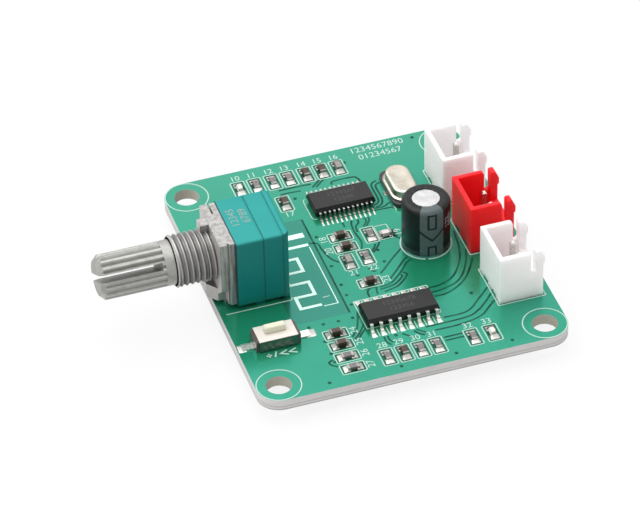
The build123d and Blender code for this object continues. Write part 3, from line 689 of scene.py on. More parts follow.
def plain_plastic(name, colour, roughness, grain=2.0, fixed=None):
    """Moulded plastic: slow changes of tone, and a fine grain from the tool."""
    finish = Finish(name, colour, roughness, 0.0, fixed)
    cloud = finish.noise(0.3, 2.0)
    finish.colour(finish.shade(cloud, colour, 0.93, 1.06))
    finish.roughness(cloud * 0.12 + (roughness - 0.06))
    finish.relief(finish.noise(grain, 2.0), 0.004)
    return finish


def nylon_finish(name, colour, sheen):
    """Nylon that light goes a little way into."""
    return plain_plastic(name, colour, 0.44, 1.2, {
        "IOR": sheen, "Subsurface Weight": 1.0, "Subsurface Radius": (1.0, 1.0, 1.0),
        "Subsurface Scale": 1.6 * MM})


def steel_finish(name, colour, roughness):
    """Drawn or folded steel strip with handling marks."""
    finish = Finish(name, colour, roughness, 1.0)
    mark = finish.noise(0.9, 4.0)
    finish.colour(finish.shade(mark, colour, 0.85, 1.1))
    finish.roughness(mark * 0.2 + (roughness - 0.1))
    finish.relief(finish.noise(1.3, 3.0), 0.012)
    return finish


def sleeve_finish():
    """Black film with a grey stripe down the front, marked with hollow bars and chevrons."""
    look = settings().plastics
    finish = Finish("capacitor_film", look.sleeve, 0.3, 0.0, {"IOR": 1.34})
    x, y, z = finish.place()
    low, high = low_high("capacitor_sleeve")
    centre = (low + high) / 2
    radius = (high[0] - low[0]) / 2
    around = (y - centre[1]).math("ARCTAN2", x - centre[0])
    across = abs(around - np.radians(-94.0)) * radius
    half = radius * np.radians(29.5)
    pitch, bar_top, bar_length, tip, tip_rise = 5.25, 8.75, 2.45, 4.25, 1.47
    down = ((bar_top - z) / pitch + 1.0).math("FRACT") * pitch
    outer = (across < 0.65).both(down < bar_length)
    inner = (across < 0.38).both(down.between(0.27, bar_length - 0.27))
    chevron = (down + across * (tip_rise / half)).near(tip, 0.19)
    mark = outer.both(1.0 - inner).either(chevron)
    body = finish.shade(finish.noise(1.0, 2.0), look.sleeve, 0.7, 1.4)
    streak = finish.noise(1.8, 3.0)
    grey = finish.shade(streak, look.stripe, 0.8, 1.25)
    finish.colour(finish.blend((across < half).both(1.0 - mark), body, grey))
    finish.roughness(streak * 0.16 + 0.3)
    return finish


def ink_finish(name, colour, roughness, per_mm, faint, full):
    """Stamped ink that took better in some places than in others."""
    ink = Finish(name, colour, roughness)
    ink.colour(ink.blend(ink.noise(per_mm), faint, full))
    return ink


def part_finish(node, name, colour, roughness=0.35):
    """A ceramic chip part: its own colour in the middle and dull tinned metal on both ends."""
    finish = Finish(name, colour, roughness)
    along = 1 if lies_along_y(node) else 0
    centre = middle(node)[along]
    ceramic = node.startswith("chip_capacitor")
    end = abs(finish.place()[along] - centre) > (0.56 if ceramic else 0.49)
    cloud = finish.noise(2.0, 3.0)
    core = finish.shade(cloud, colour, 0.6, 1.5)
    share = 0.5 if ceramic else 0.65
    tin = tinted(settings().metals.solder, share)
    caps = finish.shade(cloud.soft(0.3, 0.7), tin, 0.6, 1.1)
    finish.colour(finish.blend(end, core, caps))
    finish.metal(end * 0.5)
    finish.roughness(cloud * 0.2 + 0.3)
    finish.relief(cloud, 0.05, 0.1)
    return finish


# Operators, one for each piece or group of like pieces


class BOARD_OT_laminate(Operator):
    """Finish the board and draw its etched gaps and its plated through holes"""
    bl_idname = "board_dress.laminate"
    bl_label = "Board and tracks"

    def execute(self, context):
        dress(mask_finish(), "circuit_board")
        gaps = Pile()
        for path in self.tracks():
            gaps.add(*ribbon(smooth_path(path), 0.27, 0.006))
        for node in CHIP_PARTS:
            gaps.add(*self.pad_surround(node))
        for place in self.plated_holes():
            gaps.add(*disc(place, 0.25, 0.008))
        gaps.piece("etched_gaps", gap_finish(), "green_laminate")
        return {"FINISHED"}

    def pad_surround(self, node):
        """The dark margin round a part's two pads."""
        centre = middle(node)[:2]
        reach = np.array([0.0, 1.5] if lies_along_y(node) else [1.5, 0.0])
        return ribbon([centre - reach, centre + reach], 1.5, 0.006)

    def tracks(self):
        """Gaps beside the tracks that show through the mask, in the board's plane."""
        return [
            [(6.2, -8.4), (7.8, -8.3), (9.5, -7.6), (10.8, -6.3), (12.2, -3.8), (12.9, -1.0), (13.2, 1.5)],
            [(6.3, -9.4), (8.0, -9.2), (10.0, -8.5), (11.5, -7.0), (12.8, -4.5), (13.5, -2.5)],
            [(6.4, -10.25), (8.0, -10.2), (9.8, -9.4), (11.5, -8.0), (13.0, -5.8), (13.7, -4.5)],
            [(6.1, -14.6), (8.6, -14.6), (10.0, -14.1), (11.4, -12.8), (13.5, -10.8)],
            [(3.3, -15.6), (8.8, -15.5), (10.8, -14.7), (12.5, -13.2), (13.5, -12.1)],
            [(4.2, -16.6), (7.3, -16.6), (9.8, -16.2), (11.2, -15.6), (12.5, -14.4), (13.6, -13.4)],
            [(4.8, -18.3), (7.4, -18.3)],
            [(4.8, -18.95), (7.4, -18.95)],
            [(5.6, 0.5), (3.6, -1.3), (2.0, -2.9), (1.3, -3.5)],
            [(5.7, -1.5), (5.0, -2.0), (3.6, -3.5), (2.2, -4.9), (1.9, -5.3)],
            [(6.1, -2.1), (5.2, -2.6), (4.0, -4.0), (2.3, -5.6), (1.2, -6.0), (0.3, -6.1)],
            [(4.1, -4.2), (4.5, -4.8), (4.1, -5.4), (3.0, -6.4), (2.3, -6.8), (0.6, -7.2)],
            [(3.7, -4.6), (3.7, -5.1), (2.3, -6.2), (0.2, -6.6)],
            [(0.1, -2.0), (0.4, -2.6), (0.9, -3.0)],
            [(-0.1, -6.0), (-0.3, -6.6), (-0.4, -7.4)],
            [(-0.75, -5.6), (-1.5, -6.5), (-1.6, -7.6)],
            [(5.0, 10.0), (5.8, 10.5), (6.0, 11.5), (6.0, 13.8), (6.3, 14.6), (7.0, 14.9)],
            [(5.2, 9.6), (6.1, 10.0), (6.5, 11.2), (6.5, 13.6), (6.8, 14.2), (7.3, 14.4)],
            [(4.8, 9.0), (6.0, 8.95), (7.3, 8.9)],
            [(5.0, 9.4), (6.2, 9.4), (6.9, 9.8), (7.3, 9.9)],
            [(-5.6, 5.4), (-4.6, 5.0), (-4.4, 3.5), (-3.9, 1.5), (-3.1, 0.4)],
            [(-0.1, 8.0), (-0.1, 7.0)],
            [(1.2, 8.0), (0.9, 7.2), (0.8, 5.5), (1.0, 3.5), (0.6, 2.0)],
            [(2.0, 8.0), (1.9, 7.3), (1.3, 6.6), (1.2, 5.5)],
            [(2.9, 8.0), (3.0, 7.3), (2.3, 6.3)],
            [(3.5, 8.0), (3.4, 7.3), (2.7, 6.3)],
            [(2.6, 2.4), (2.2, 1.7), (1.6, 1.1)],
            [(3.2, 2.6), (2.8, 1.9), (1.8, 0.8)],
            [(5.3, 3.4), (5.8, 2.7), (6.2, 2.2)],
            [(-5.0, 10.4), (-5.0, -9.6)],
            [(-6.0, 17.2), (-3.0, 17.2), (-1.5, 17.1)],
            [(-6.0, 16.3), (-4.5, 16.3), (-3.2, 16.2)],
            [(-1.5, 16.4), (-0.7, 17.1), (0.0, 17.7)],
            [(-1.0, 16.3), (-0.3, 16.9), (0.5, 17.6)],
            [(1.1, 16.1), (1.5, 16.7), (4.2, 16.7), (4.8, 16.2), (5.0, 15.4)],
            [(-2.4, -15.6), (-2.4, -16.6), (-2.0, -17.4)],
            [(-1.9, -15.6), (-1.9, -16.4), (-1.6, -17.0)],
            [(0.0, -15.8), (0.8, -16.6), (1.2, -17.0)],
            [(1.6, -15.8), (2.2, -16.6), (2.7, -17.0)],
            [(2.0, -15.6), (2.8, -16.4), (3.2, -16.8)],
            [(-4.0, -9.7), (-4.6, -11.6), (-5.2, -13.0), (-6.2, -14.3)],
            [(-3.9, -12.2), (-4.6, -13.2), (-5.4, -14.2), (-6.3, -15.0)],
            [(-4.0, -13.2), (-4.8, -14.0), (-5.8, -15.2)],
            [(-10.0, -17.7), (-10.6, -18.0), (-10.5, -18.6), (-9.8, -19.2)],
        ]

    def plated_holes(self):
        """Centres of the small plated holes."""
        return [(-8.98, -10.7), (-6.95, -10.75), (-10.95, -10.7), (-5.0, -10.75), (-4.3, -4.0),
                (-4.3, -6.2), (-4.3, -8.2), (-4.3, 0.0), (-1.65, -2.9), (-9.85, -14.0),
                (-9.85, -16.5), (-9.9, -18.2), (2.55, -1.4), (-11.8, -21.75), (-2.15, -21.75),
                (5.3, -21.7), (12.9, -21.7), (-0.85, -15.85), (-4.45, 14.9), (-4.3, 6.3),
                (2.5, 1.1), (11.1, -11.2), (4.2, 20.0), (14.6, 22.1)]


class BOARD_OT_print(Operator):
    """Draw the white outlines, rings, signs, aerial strip and plain numbers"""
    bl_idname = "board_dress.printing"
    bl_label = "White print"

    def execute(self, context):
        look = settings().board
        self.width = look.line_width / MM
        self.size = look.digit_height / MM
        self.thickness = 0.02
        self.white = Pile()
        self.part_boxes()
        self.big_outlines()
        self.signs()
        white = silk_finish("printed_white", 1.0)
        self.white.piece("white_outlines", white, "green_laminate")
        self.white = Pile()
        self.numbers()
        self.white.piece("white_numbers", white, "green_laminate")
        self.white = Pile()
        self.aerial()
        self.white.piece("white_aerial", silk_finish("thick_white", 1.6), "green_laminate")
        return {"FINISHED"}

    def line(self, path, width=None, closed=False):
        self.white.add(*ribbon(path, width or self.width, self.thickness, closed=closed))

    def number(self, digits, size, centre, turn=0.0):
        self.white.add(*numeral(digits, size, centre, turn, thickness=self.thickness))

    def part_boxes(self):
        """A rounded box round every two-terminal part."""
        for node in CHIP_PARTS:
            centre = middle(node)
            half_x, half_y = (0.95, 1.62) if lies_along_y(node) else (1.62, 0.95)
            if node == "chip_bead":
                centre, half_x, half_y = centre + np.array([-0.15, 0.6, 0.0]), 0.97, 1.45
            self.line(box_path(centre, half_x, half_y, 0.2), 0.13, True)

    def big_outlines(self):
        """Rings round the fixing holes, and outlines of the larger parts."""
        for x in (-HOLE_X, HOLE_X):
            for y in (-HOLE_Y, HOLE_Y):
                self.line(arc((x, y), 2.9, 0, 360, 61)[:-1], 0.15, True)
        for label in HEADERS:
            low, high = low_high(label + "_header")
            centre = ((low[0] + high[0]) / 2, (low[1] + high[1]) / 2)
            self.line(box_path(centre, (high[0] - low[0]) / 2 + 0.15,
                               (high[1] - low[1]) / 2 + 0.2, 0.1), None, True)
        can = middle("capacitor_sleeve")
        self.line(arc(can, 3.38, -104, 250, 90), 0.2)
        chip = middle("amplifier_chip")
        self.line(box_path(chip + np.array([0.1, 1.0, 0.0]), 5.05, 2.85, 0.12), 0.12, True)
        for side in (-1, 1):
            for gap in np.arange(-3, 4) * LEAD_PITCH["amplifier_chip"]:
                self.line([(chip[0] + gap, chip[1] + side * 2.3),
                           (chip[0] + gap, chip[1] + side * 3.75)], 0.11)
        chip = middle("radio_chip")
        self.line(smooth_path(chip[:2] + np.array([(-4.3, 2.4), (-4.6, 1.9), (-4.6, -1.2),
                                                   (-4.45, -1.9), (-4.0, -2.1)])), 0.12)
        self.line([(7.5, 8.0), (7.5, 10.4)])
        self.line([(-20.2, -4.75), (-11.3, -4.75), (-11.1, -4.3)])

    def aerial(self):
        """The folded strip aerial: wide feed bars, then a snake of even width."""
        self.line([(-11.0, 7.3), (-5.75, 7.3)], 0.95)
        self.line([(-11.0, 5.2), (-5.8, 5.2)], 0.5)
        snake = [(-10.75, 7.0), (-10.75, 2.95), (-8.1, 2.95), (-8.1, 0.3), (-10.75, 0.3),
                 (-10.75, -2.0), (-8.1, -2.0), (-8.1, -4.6), (-10.75, -4.6), (-10.75, -6.9),
                 (-7.9, -6.9)]
        self.line(snake, 0.45)
        self.line([(-5.8, 4.7), (-5.8, -7.3), (-7.7, -7.3)], 0.13)

    def signs(self):
        """Plus, stroke and two arrows in front of the push button."""
        self.line([(-17.75, -14.25), (-17.05, -14.25)], 0.2)
        self.line([(-17.4, -13.9), (-17.4, -14.6)], 0.2)
        self.line([(-16.75, -14.75), (-16.35, -13.75)], 0.2)
        for x in (-15.9, -14.7):
            self.line([(x + 0.95, -13.85), (x, -14.3), (x + 0.95, -14.75)], 0.2)

    def numbers(self):
        """Plain numbers beside the parts, in reading order."""
        labels = [(name, 0.0, 2.35, 0) for name in CHIP_PARTS
                  if abs(middle(name)[1]) > 18 and lies_along_y(name)]
        labels += [(name, 2.4, 0.0, 90) for name in CHIP_PARTS if middle(name)[0] < -7
                   and not lies_along_y(name)]
        labels += [("chip_capacitor_8", -2.3, 0.0, 90), ("chip_capacitor_9", -2.3, 0.0, 90),
                   ("chip_bead", 1.8, 0.0, 90), ("chip_capacitor_10", 0.0, -2.3, 0),
                   ("chip_resistor_11", 0.2, -2.3, 0), ("chip_capacitor_11", 2.3, 0.0, 90),
                   ("chip_capacitor_7", 0.0, -2.3, 0)]
        labels.sort(key=lambda label: (-round(middle(label[0])[1]), middle(label[0])[0]))
        for count, (name, across, up, turn) in enumerate(labels, 10):
            x, y = middle(name)[:2]
            self.number(str(count), self.size, (x + across, y + up), turn)
        for row, text in enumerate(("1234567890", "01234567")):
            self.number(text, self.size * 1.1, (9.4, 21.9 - 1.6 * row))
        self.number("1", self.size, (-6.8, -5.6), 90)


class BOARD_OT_solder(Operator):
    """Put solder on every pad and tin on every lead"""
    bl_idname = "board_dress.solder"
    bl_label = "Solder and leads"

    def execute(self, context):
        solder = solder_finish()
        dress(tin_finish("fine_lead_tin", 0.22), "radio_chip_leads")
        dress(tin_finish("tin_plate", 0.7), "volume_terminals", "amplifier_chip_leads",
              "capacitor_leads", "crystal_leads", "switch_terminals",
              *[label + "_pins" for label in HEADERS])
        dress(solder, "solder_joints")
        self.pile = Pile()
        for node in CHIP_PARTS:
            self.part_fillets(node)
        self.lead_fillets("amplifier_chip", 8, 0.5, 0.6)
        self.lead_fillets("radio_chip", 12, 0.28, 0.0)
        self.strip_fillets()
        self.pile.piece("solder_fillets", solder, "solder", smooth=True)
        return {"FINISHED"}

    def part_fillets(self, node):
        """A pad and a fillet at each end of a two-terminal part."""
        low, high = low_high(node)
        centre = (low + high) / 2
        height = (high[2] - low[2]) * 0.55
        along = lies_along_y(node)
        half = (high[1] - low[1] if along else high[0] - low[0]) / 2
        out = np.array([0.0, 1.0] if along else [1.0, 0.0])
        reach = 0.15 if node == "chip_bead" else 0.55
        for side in (-1, 1):
            turn = (90 if along else 0) + (0 if side > 0 else 180)
            start = centre[:2] + out * side * (half - 0.02)
            self.pile.add(*mound(start, turn, reach, 1.2, height, 0.08))
            self.pile.add(*ribbon([centre[:2] + out * side * 0.45,
                                   start + out * side * reach * 0.5], 1.2, 0.04))

    def lead_fillets(self, node, count, width, flare):
        """A fillet under and beyond each foot of a chip's leads."""
        x, y = middle(node)[:2]
        for side, outer in ((-1, 3.78), (1, 3.9)):
            for index in range(count):
                along = x + (index - (count - 1) / 2) * LEAD_PITCH[node]
                self.pile.add(*mound((along, y + side * 2.3), 90 * side, outer - 2.3, width, 0.14, flare))

    def strip_fillets(self):
        """Solder beyond the push button's two strips, and on the spare pad by the crystal."""
        low, high = low_high("switch_terminals")
        y = (low[1] + high[1]) / 2
        self.pile.add(*mound((low[0] + 0.5, y), 180, 1.0, 1.5, 0.15))
        self.pile.add(*mound((high[0] - 0.5, y), 0, 1.3, 1.5, 0.15))
        self.pile.add(*mound((7.02, 11.95), 0, 0.36, 0.95, 0.08))


class BOARD_OT_volume(Operator):
    """Finish the volume control and cut the thread on its bushing"""
    bl_idname = "board_dress.volume"
    bl_label = "Volume control"

    def execute(self, context):
        casting = casting_finish()
        dress(casting, "volume_bushing_plate")
        dress(teal_finish(), "volume_front_case", "volume_rear_case", "volume_end_cover")
        dress(shaft_finish(), "volume_shaft")
        dress(plain_plastic("track_wafer", (0.30, 0.19, 0.11), 0.5), "volume_track_front",
              "volume_track_rear")
        dress(plain_plastic("rotor_moulding", (0.7, 0.68, 0.62), 0.45), "volume_rotor_front",
              "volume_rotor_rear")
        dress(steel_finish("contact_spring", (0.75, 0.60, 0.35), 0.3), "volume_wipers")
        self.case_numbers()
        self.threaded_plate(casting)
        return {"FINISHED"}

    def case_numbers(self):
        """Two rows of plain digits on top of the front case."""
        low, high = low_high("volume_front_case")
        x, y = ((low + high) / 2)[:2]
        ink = ink_finish("case_ink", (0.20, 0.26, 0.24), 0.5, 3.0, (0.16, 0.24, 0.22), (0.26, 0.30, 0.28))
        pile = Pile()
        for row, text in enumerate(("12345", "6789")):
            pile.add(*numeral(text, 1.5, (x - 0.55 + 1.5 * row, y + 0.6), 90, high[2], 0.004))
        pile.piece("case_numbers", ink, "teal_moulding")

    def threaded_plate(self, casting):
        """A copy of the plate whose smooth bushing wall is exchanged for a threaded one, which
        runs on over the neck to the plate's face."""
        source = nodes["volume_bushing_plate"]
        face_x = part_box("circuit_board")[0].x / MM + 0.5
        axis_y, axis_z = middle("volume_shaft")[1:]
        shell = bmesh.new()
        shell.from_mesh(source.data)
        bmesh.ops.remove_doubles(shell, verts=shell.verts, dist=0.001 * MM)
        wall = [face for face in shell.faces if self.on_wall(face, axis_y, axis_z)]
        start = min(vert.co.x / MM for face in wall for vert in face.verts)
        bmesh.ops.delete(shell, geom=wall, context="FACES")
        mesh = bpy.data.meshes.new("threaded_plate")
        shell.to_mesh(mesh)
        shell.free()
        mesh.materials.append(casting.material)
        plate = bpy.data.objects.new("threaded_plate", mesh)
        link(plate)
        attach(plate, "board")
        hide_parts("volume_bushing_plate")
        thread = Pile()
        thread.add(*self.thread(start, face_x, axis_y, axis_z))
        thread.piece("bushing_thread", thread_finish(), "zinc_casting", smooth=True)

    def on_wall(self, face, axis_y, axis_z):
        """Whether a face is part of the bushing's outer wall."""
        reach = [np.hypot(vert.co.y / MM - axis_y, vert.co.z / MM - axis_z) for vert in face.verts]
        return max(abs(r - THREAD_CREST) for r in reach) < 0.02 and abs(face.normal.x) < 0.1

    def thread(self, start, end, axis_y, axis_z):
        """A helical thread: at angle a and distance x the radius drops from the crest by
        depth times a rounded triangle wave of x / pitch - a / 360, fading in at its start."""
        look = settings().volume
        pitch, depth = look.thread_pitch / MM, look.thread_depth / MM
        rows = int((end - start) / pitch * 14)
        x, angle = np.meshgrid(np.linspace(start, end, rows),
                               np.linspace(0, 2 * np.pi, 96, endpoint=False), indexing="ij")
        phase = (x - start) / pitch - angle / (2 * np.pi)
        wave = np.abs(2 * (phase - np.floor(phase + 0.5)))
        fade = np.clip((x - start) / (0.35 * pitch), 0, 1)
        radius = THREAD_CREST - depth * wave ** 0.8 * fade
        points = np.stack([x, axis_y + radius * np.cos(angle), axis_z + radius * np.sin(angle)], -1)
        return points, grid_faces(rows, 96, False, True)[:, ::-1]


class BOARD_OT_button(Operator):
    """Finish the push button"""
    bl_idname = "board_dress.button"
    bl_label = "Push button"

    def execute(self, context):
        look = settings()
        dress(plain_plastic("switch_base_moulding", (0.075, 0.06, 0.055), 0.35), "switch_base")
        dress(self.cover_finish(look.metals.steel), "switch_cover")
        dress(steel_finish("switch_steel", look.metals.steel, 0.26), "switch_dome")
        dress(plain_plastic("button_moulding", look.plastics.cream, 0.4), "switch_button")
        return {"FINISHED"}

    def cover_finish(self, colour):
        """Polished sheet: a little dull on top and a mirror on its skirts, with the top painted pale and
        warm as if lit and the skirts painted dark as if shaded.
        """
        finish = steel_finish("cover_steel", colour, 0.3)
        top = finish.facing()[2].soft(0.3, 0.8)
        # painted light on the top and painted shade on the skirts of one steel sheet
        warm = finish.blend(finish.noise(1.2, 3.0), (0.58, 0.54, 0.49), (0.76, 0.71, 0.66))
        finish.colour(finish.blend(top, (0.22, 0.19, 0.17), warm))
        finish.metal(1.0 - top * 0.6)
        finish.roughness(top * 0.25 + 0.25)
        return finish


class BOARD_OT_headers(Operator):
    """Finish the three plug headers"""
    bl_idname = "board_dress.headers"
    bl_label = "Plug headers"

    def execute(self, context):
        look = settings().plastics
        dress(nylon_finish("white_nylon", look.white, 1.4), "front_speaker_header", "rear_speaker_header")
        dress(nylon_finish("red_nylon", look.red, 1.3), "power_header")
        return {"FINISHED"}


class BOARD_OT_cans(Operator):
    """Shrink the film round the capacitor, draw the crystal's can and finish both"""
    bl_idname = "board_dress.cans"
    bl_label = "Capacitor and crystal"

    def execute(self, context):
        film = sleeve_finish()
        sleeve = Pile()
        sleeve.add(*self.film())
        piece = sleeve.piece("shrunk_film", film, "capacitor_film", smooth=True)
        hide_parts("capacitor_sleeve")
        can = Pile()
        can.add(*self.drawn_can())
        piece = can.piece("drawn_can", steel_finish("crystal_steel", (0.59, 0.55, 0.47), 0.3),
                          "crystal_steel", smooth=True)
        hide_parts("crystal_can")
        dress(steel_finish("capacitor_aluminium", (0.62, 0.62, 0.62), 0.3), "capacitor_can")
        dress(plain_plastic("crystal_base_moulding", (0.012, 0.012, 0.012), 0.4), "crystal_insulator")
        self.numbers()
        return {"FINISHED"}

    def film(self):
        """The shrunk film: a closed profile turned about the can's axis.

        The profile runs up the wall, round a quarter circle at the shoulder, over the top to
        its cut edge and back inside. The top dips and rises by a few hundredths of a
        millimetre with a sum of three waves round the axis, which grow towards the cut edge.
        """
        low, high = low_high("capacitor_sleeve")
        outer = (high[0] - low[0]) / 2
        shoulder, wall, lap = 0.7, 0.12, 1.38
        bend = round_shoulder(outer, high[2], shoulder, 9)
        ridge = np.linspace(outer - shoulder, outer - lap, 7)[1:]
        top = np.stack([ridge, np.full(6, high[2])], 1)
        first = [(outer - wall, low[2]), (outer, low[2]), (outer, 2.8), (outer - 0.08, 3.3), (outer, 3.8)]
        last = [(outer - lap, high[2] - wall), (outer - shoulder, high[2] - wall),
                (outer - wall, high[2] - shoulder)]
        profile = np.vstack([first, bend, top, last])
        angle = np.linspace(0, 2 * np.pi, 160, endpoint=False)
        reach = np.clip((outer - profile[:, :1]) / lap, 0, 1) ** 1.5
        wave = (np.sin(13 * angle) + 0.7 * np.sin(22 * angle + 1.0) + 0.5 * np.sin(37 * angle))
        fold = 0.02 * reach * (wave - 2.2)
        fold[:len(first)] = 0.0
        radius = np.broadcast_to(profile[:, :1], fold.shape)
        axis = (low + high) / 2
        rings = np.stack([axis[0] + radius * np.cos(angle), axis[1] + radius * np.sin(angle),
                          profile[:, 1:] + fold], -1)
        return loft(rings, closed=True)

    def drawn_can(self):
        """The crystal's can: a slot-shaped outline carried up a profile with a round shoulder.

        At angle t the outline is a half circle of radius r about one of two centres on Y, and
        r follows the profile: the flange, the wall, then a quarter circle into the flat top.
        """
        low, high = low_high("crystal_can")
        axis = (low + high) / 2
        width = high[0] - low[0]
        between = (high[1] - low[1] - width) / 2
        flange, sheet, shoulder = 0.35, 0.25, 0.3
        wall = width / 2 - flange
        bend = round_shoulder(wall, high[2], shoulder, 7)
        first = [(width / 2, low[2]), (width / 2, low[2] + sheet), (wall + 0.08, low[2] + sheet),
                 (wall, low[2] + sheet + 0.08)]
        inner = [(wall - shoulder - 0.15, high[2]), (wall - shoulder - 0.5, high[2] - 0.015)]
        profile = np.vstack([first, bend, inner])
        angle = np.linspace(0, 2 * np.pi, 96, endpoint=False)
        shift = between * np.sign(np.sin(angle))
        x = axis[0] + profile[:, :1] * np.cos(angle)
        y = axis[1] + profile[:, :1] * np.sin(angle) + shift
        z = np.broadcast_to(profile[:, 1:], x.shape)
        return loft(np.stack([x, y, z], -1))

    def numbers(self):
        """A column of plain digits on the film, beside the stripe."""
        low, high = low_high("capacitor_sleeve")
        axis = (low + high) / 2
        radius = (high[0] - low[0]) / 2
        ink = ink_finish("film_ink", (0.24, 0.27, 0.28), 0.5, 3.0, (0.17, 0.20, 0.21), (0.32, 0.35, 0.36))
        pile = Pile()
        for text, start, size in (("123", -50.0, 1.25), ("4567", -36.0, 1.25)):
            points, faces = numeral(text, size, (0.0, 0.0), 90, 0.0, 0.03)
            angle = np.radians(start) + points[:, 0] / radius
            reach = radius + 0.01 + points[:, 2]
            pile.add(np.stack([axis[0] + reach * np.cos(angle), axis[1] + reach * np.sin(angle),
                               high[2] - 2.7 + points[:, 1]], 1), faces)
        pile.piece("film_numbers", ink, "capacitor_film")


class BOARD_OT_chips(Operator):
    """Finish the two chips and print plain numbers on them"""
    bl_idname = "board_dress.chips"
    bl_label = "Chips"

    def execute(self, context):
        look = settings().plastics
        dress(plain_plastic("chip_moulding", look.epoxy, 0.42, 5.0, {"IOR": 1.4}),
              "amplifier_chip", "radio_chip")
        ink = ink_finish("chip_ink", (0.07, 0.065, 0.068), 0.6, 4.0, (0.014, 0.013, 0.014),
                         (0.055, 0.052, 0.055))
        pile = Pile()
        for node, rows in (("amplifier_chip", ("12345678", "123456")), ("radio_chip", ("1234567", "12345"))):
            x, y = middle(node)[:2]
            level = low_high(node)[1][2]
            for row, text in enumerate(rows):
                pile.add(*numeral(text, 1.15, (x + 0.2, y + 0.6 - 1.25 * row), 0, level, 0.004))
        pile.piece("chip_numbers", ink, "chip_moulding")
        return {"FINISHED"}


class BOARD_OT_parts(Operator):
    """Finish the small two-terminal parts"""
    bl_idname = "board_dress.parts"
    bl_label = "Chip parts"

    def execute(self, context):
        colours = {"chip_resistor": (0.15, 0.13, 0.135), "chip_capacitor": (0.040, 0.016, 0.008),
                   "chip_bead": (0.62, 0.53, 0.54), "status_lamp": (0.74, 0.66, 0.60)}
        pale = ("chip_capacitor_3", "chip_capacitor_10")
        for node in CHIP_PARTS:
            colour = next(c for start, c in colours.items() if node.startswith(start))
            if node in pale:
                colour = (0.24, 0.23, 0.21)
            dress(part_finish(node, node + "_finish", colour), node)
        return {"FINISHED"}


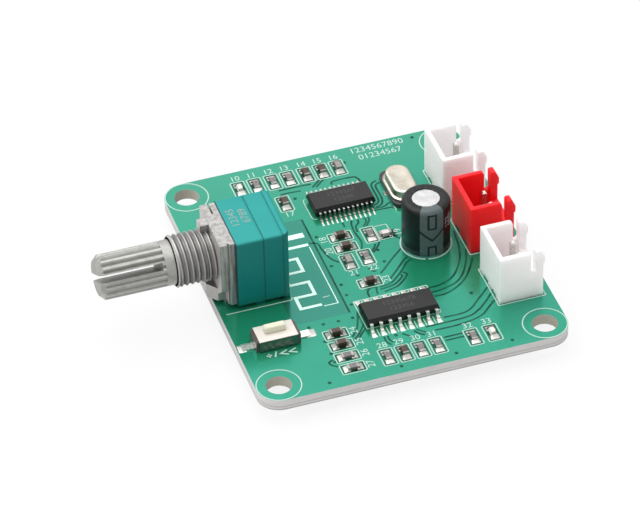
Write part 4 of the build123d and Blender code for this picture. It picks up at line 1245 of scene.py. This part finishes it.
class BOARD_OT_stage(Operator):
    """Set up the floor, the light and the camera"""
    bl_idname = "board_dress.stage"
    bl_label = "Stage"

    def execute(self, context):
        look = settings().stage
        self.floor(look)
        self.sky(look)
        self.lamp(look)
        self.camera(look)
        context.scene.view_settings.view_transform = "Standard"
        return {"FINISHED"}

    def floor(self, look):
        """A pale table, seen as white apart from the board's soft shadow."""
        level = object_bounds()[0][2]
        half = 0.9
        mesh = bpy.data.meshes.new("table")
        mesh.from_pydata([(-half, -half, level), (half, -half, level), (half, half, level),
                          (-half, half, level)], [], [(0, 1, 2, 3)])
        finish = Finish("table_top", look.floor, 0.7)
        path = finish.tree.nodes.new("ShaderNodeLightPath")
        seen = Wire(finish, path.outputs["Is Camera Ray"])
        glow = finish.tree.nodes.new("ShaderNodeEmission")
        glow.inputs["Color"].default_value = (1.0, 1.0, 1.0, 1.0)
        glow.inputs["Strength"].default_value = 1.0
        cloth = finish.blend(finish.noise(0.01), tinted(look.floor, 0.98), look.floor)
        finish.colour(finish.blend(seen, tinted(look.floor, 0.85), cloth))
        finish.over(seen * 0.88, glow)
        mesh.materials.append(finish.material)
        table = bpy.data.objects.new("table", mesh)
        link(table)
        table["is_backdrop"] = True

    def sky(self, look):
        """White all round: full strength to the eye and in reflections, and less as light."""
        world = bpy.data.worlds.new("studio")
        world.use_nodes = True
        tree = world.node_tree
        path = tree.nodes.new("ShaderNodeLightPath")
        shown = tree.nodes.new("ShaderNodeMath")
        shown.operation = "MAXIMUM"
        tree.links.new(path.outputs["Is Camera Ray"], shown.inputs[0])
        tree.links.new(path.outputs["Is Glossy Ray"], shown.inputs[1])
        strength = tree.nodes.new("ShaderNodeMapRange")
        tree.links.new(shown.outputs[0], strength.inputs["Value"])
        strength.inputs["To Min"].default_value = look.sky
        strength.inputs["To Max"].default_value = 1.0
        background = tree.nodes["Background"]
        background.inputs["Color"].default_value = (1.0, 1.0, 1.0, 1.0)
        tree.links.new(strength.outputs[0], background.inputs["Strength"])
        bpy.context.scene.world = world

    def lamp(self, look):
        """One broad soft lamp, high behind the board and a little to its left."""
        place = Vector((-0.13, 0.14, 0.56))
        light = bpy.data.lights.new("overhead", "AREA")
        light.shape = "RECTANGLE"
        light.size = 0.85
        light.size_y = 0.8
        light.energy = look.lamp_power
        lamp = bpy.data.objects.new("overhead", light)
        lamp.location = place
        lamp.rotation_euler = (-place).to_track_quat("-Z", "Y").to_euler()
        link(lamp)

    def camera(self, look):
        """The photograph's view: its place and its three axes, for a 640 by 525 frame."""
        right = Vector((0.9490481, -0.3146236, -0.0178773))
        up = Vector((0.2152618, 0.6058061, 0.7659382))
        back = Vector((-0.2301521, -0.7307605, 0.6426656))
        lens = bpy.data.cameras.new("camera")
        lens.lens = look.focal_length
        lens.sensor_width = 36.0
        lens.clip_start = 0.01
        camera = bpy.data.objects.new("camera", lens)
        turn = Matrix((right, up, back)).transposed()
        camera.matrix_world = Matrix.Translation((-0.13505, -0.41021, 0.36342)) @ turn.to_4x4()
        link(camera)
        bpy.context.scene.camera = camera


STEPS = (BOARD_OT_laminate, BOARD_OT_print, BOARD_OT_solder, BOARD_OT_volume, BOARD_OT_button,
         BOARD_OT_headers, BOARD_OT_cans, BOARD_OT_chips, BOARD_OT_parts, BOARD_OT_stage)


class BOARD_PT_dress(Panel):
    """The board's finishes and the operators that apply them"""
    bl_idname = "BOARD_PT_dress"
    bl_label = "Amplifier Board"
    bl_space_type = "VIEW_3D"
    bl_region_type = "UI"
    bl_category = "Amplifier Board"

    def draw(self, context):
        dress_settings = context.scene.board_dress
        for group_name in ("board", "metals", "volume", "plastics", "stage"):
            group = getattr(dress_settings, group_name)
            box = self.layout.box()
            for name in group.__annotations__:
                box.prop(group, name)
        for step in STEPS:
            self.layout.operator(step.bl_idname)


CLASSES = (BoardSettings, MetalSettings, VolumeSettings, PlasticSettings, StageSettings,
           DressSettings) + STEPS + (BOARD_PT_dress,)


def register():
    for cls in CLASSES:
        bpy.utils.register_class(cls)
    bpy.types.Scene.board_dress = PointerProperty(type=DressSettings)


def unregister():
    del bpy.types.Scene.board_dress
    for cls in reversed(CLASSES):
        bpy.utils.unregister_class(cls)


def main():
    register()
    for step in STEPS:
        group, name = step.bl_idname.split(".")
        getattr(getattr(bpy.ops, group), name)()


if __name__ == "__main__":
    main()
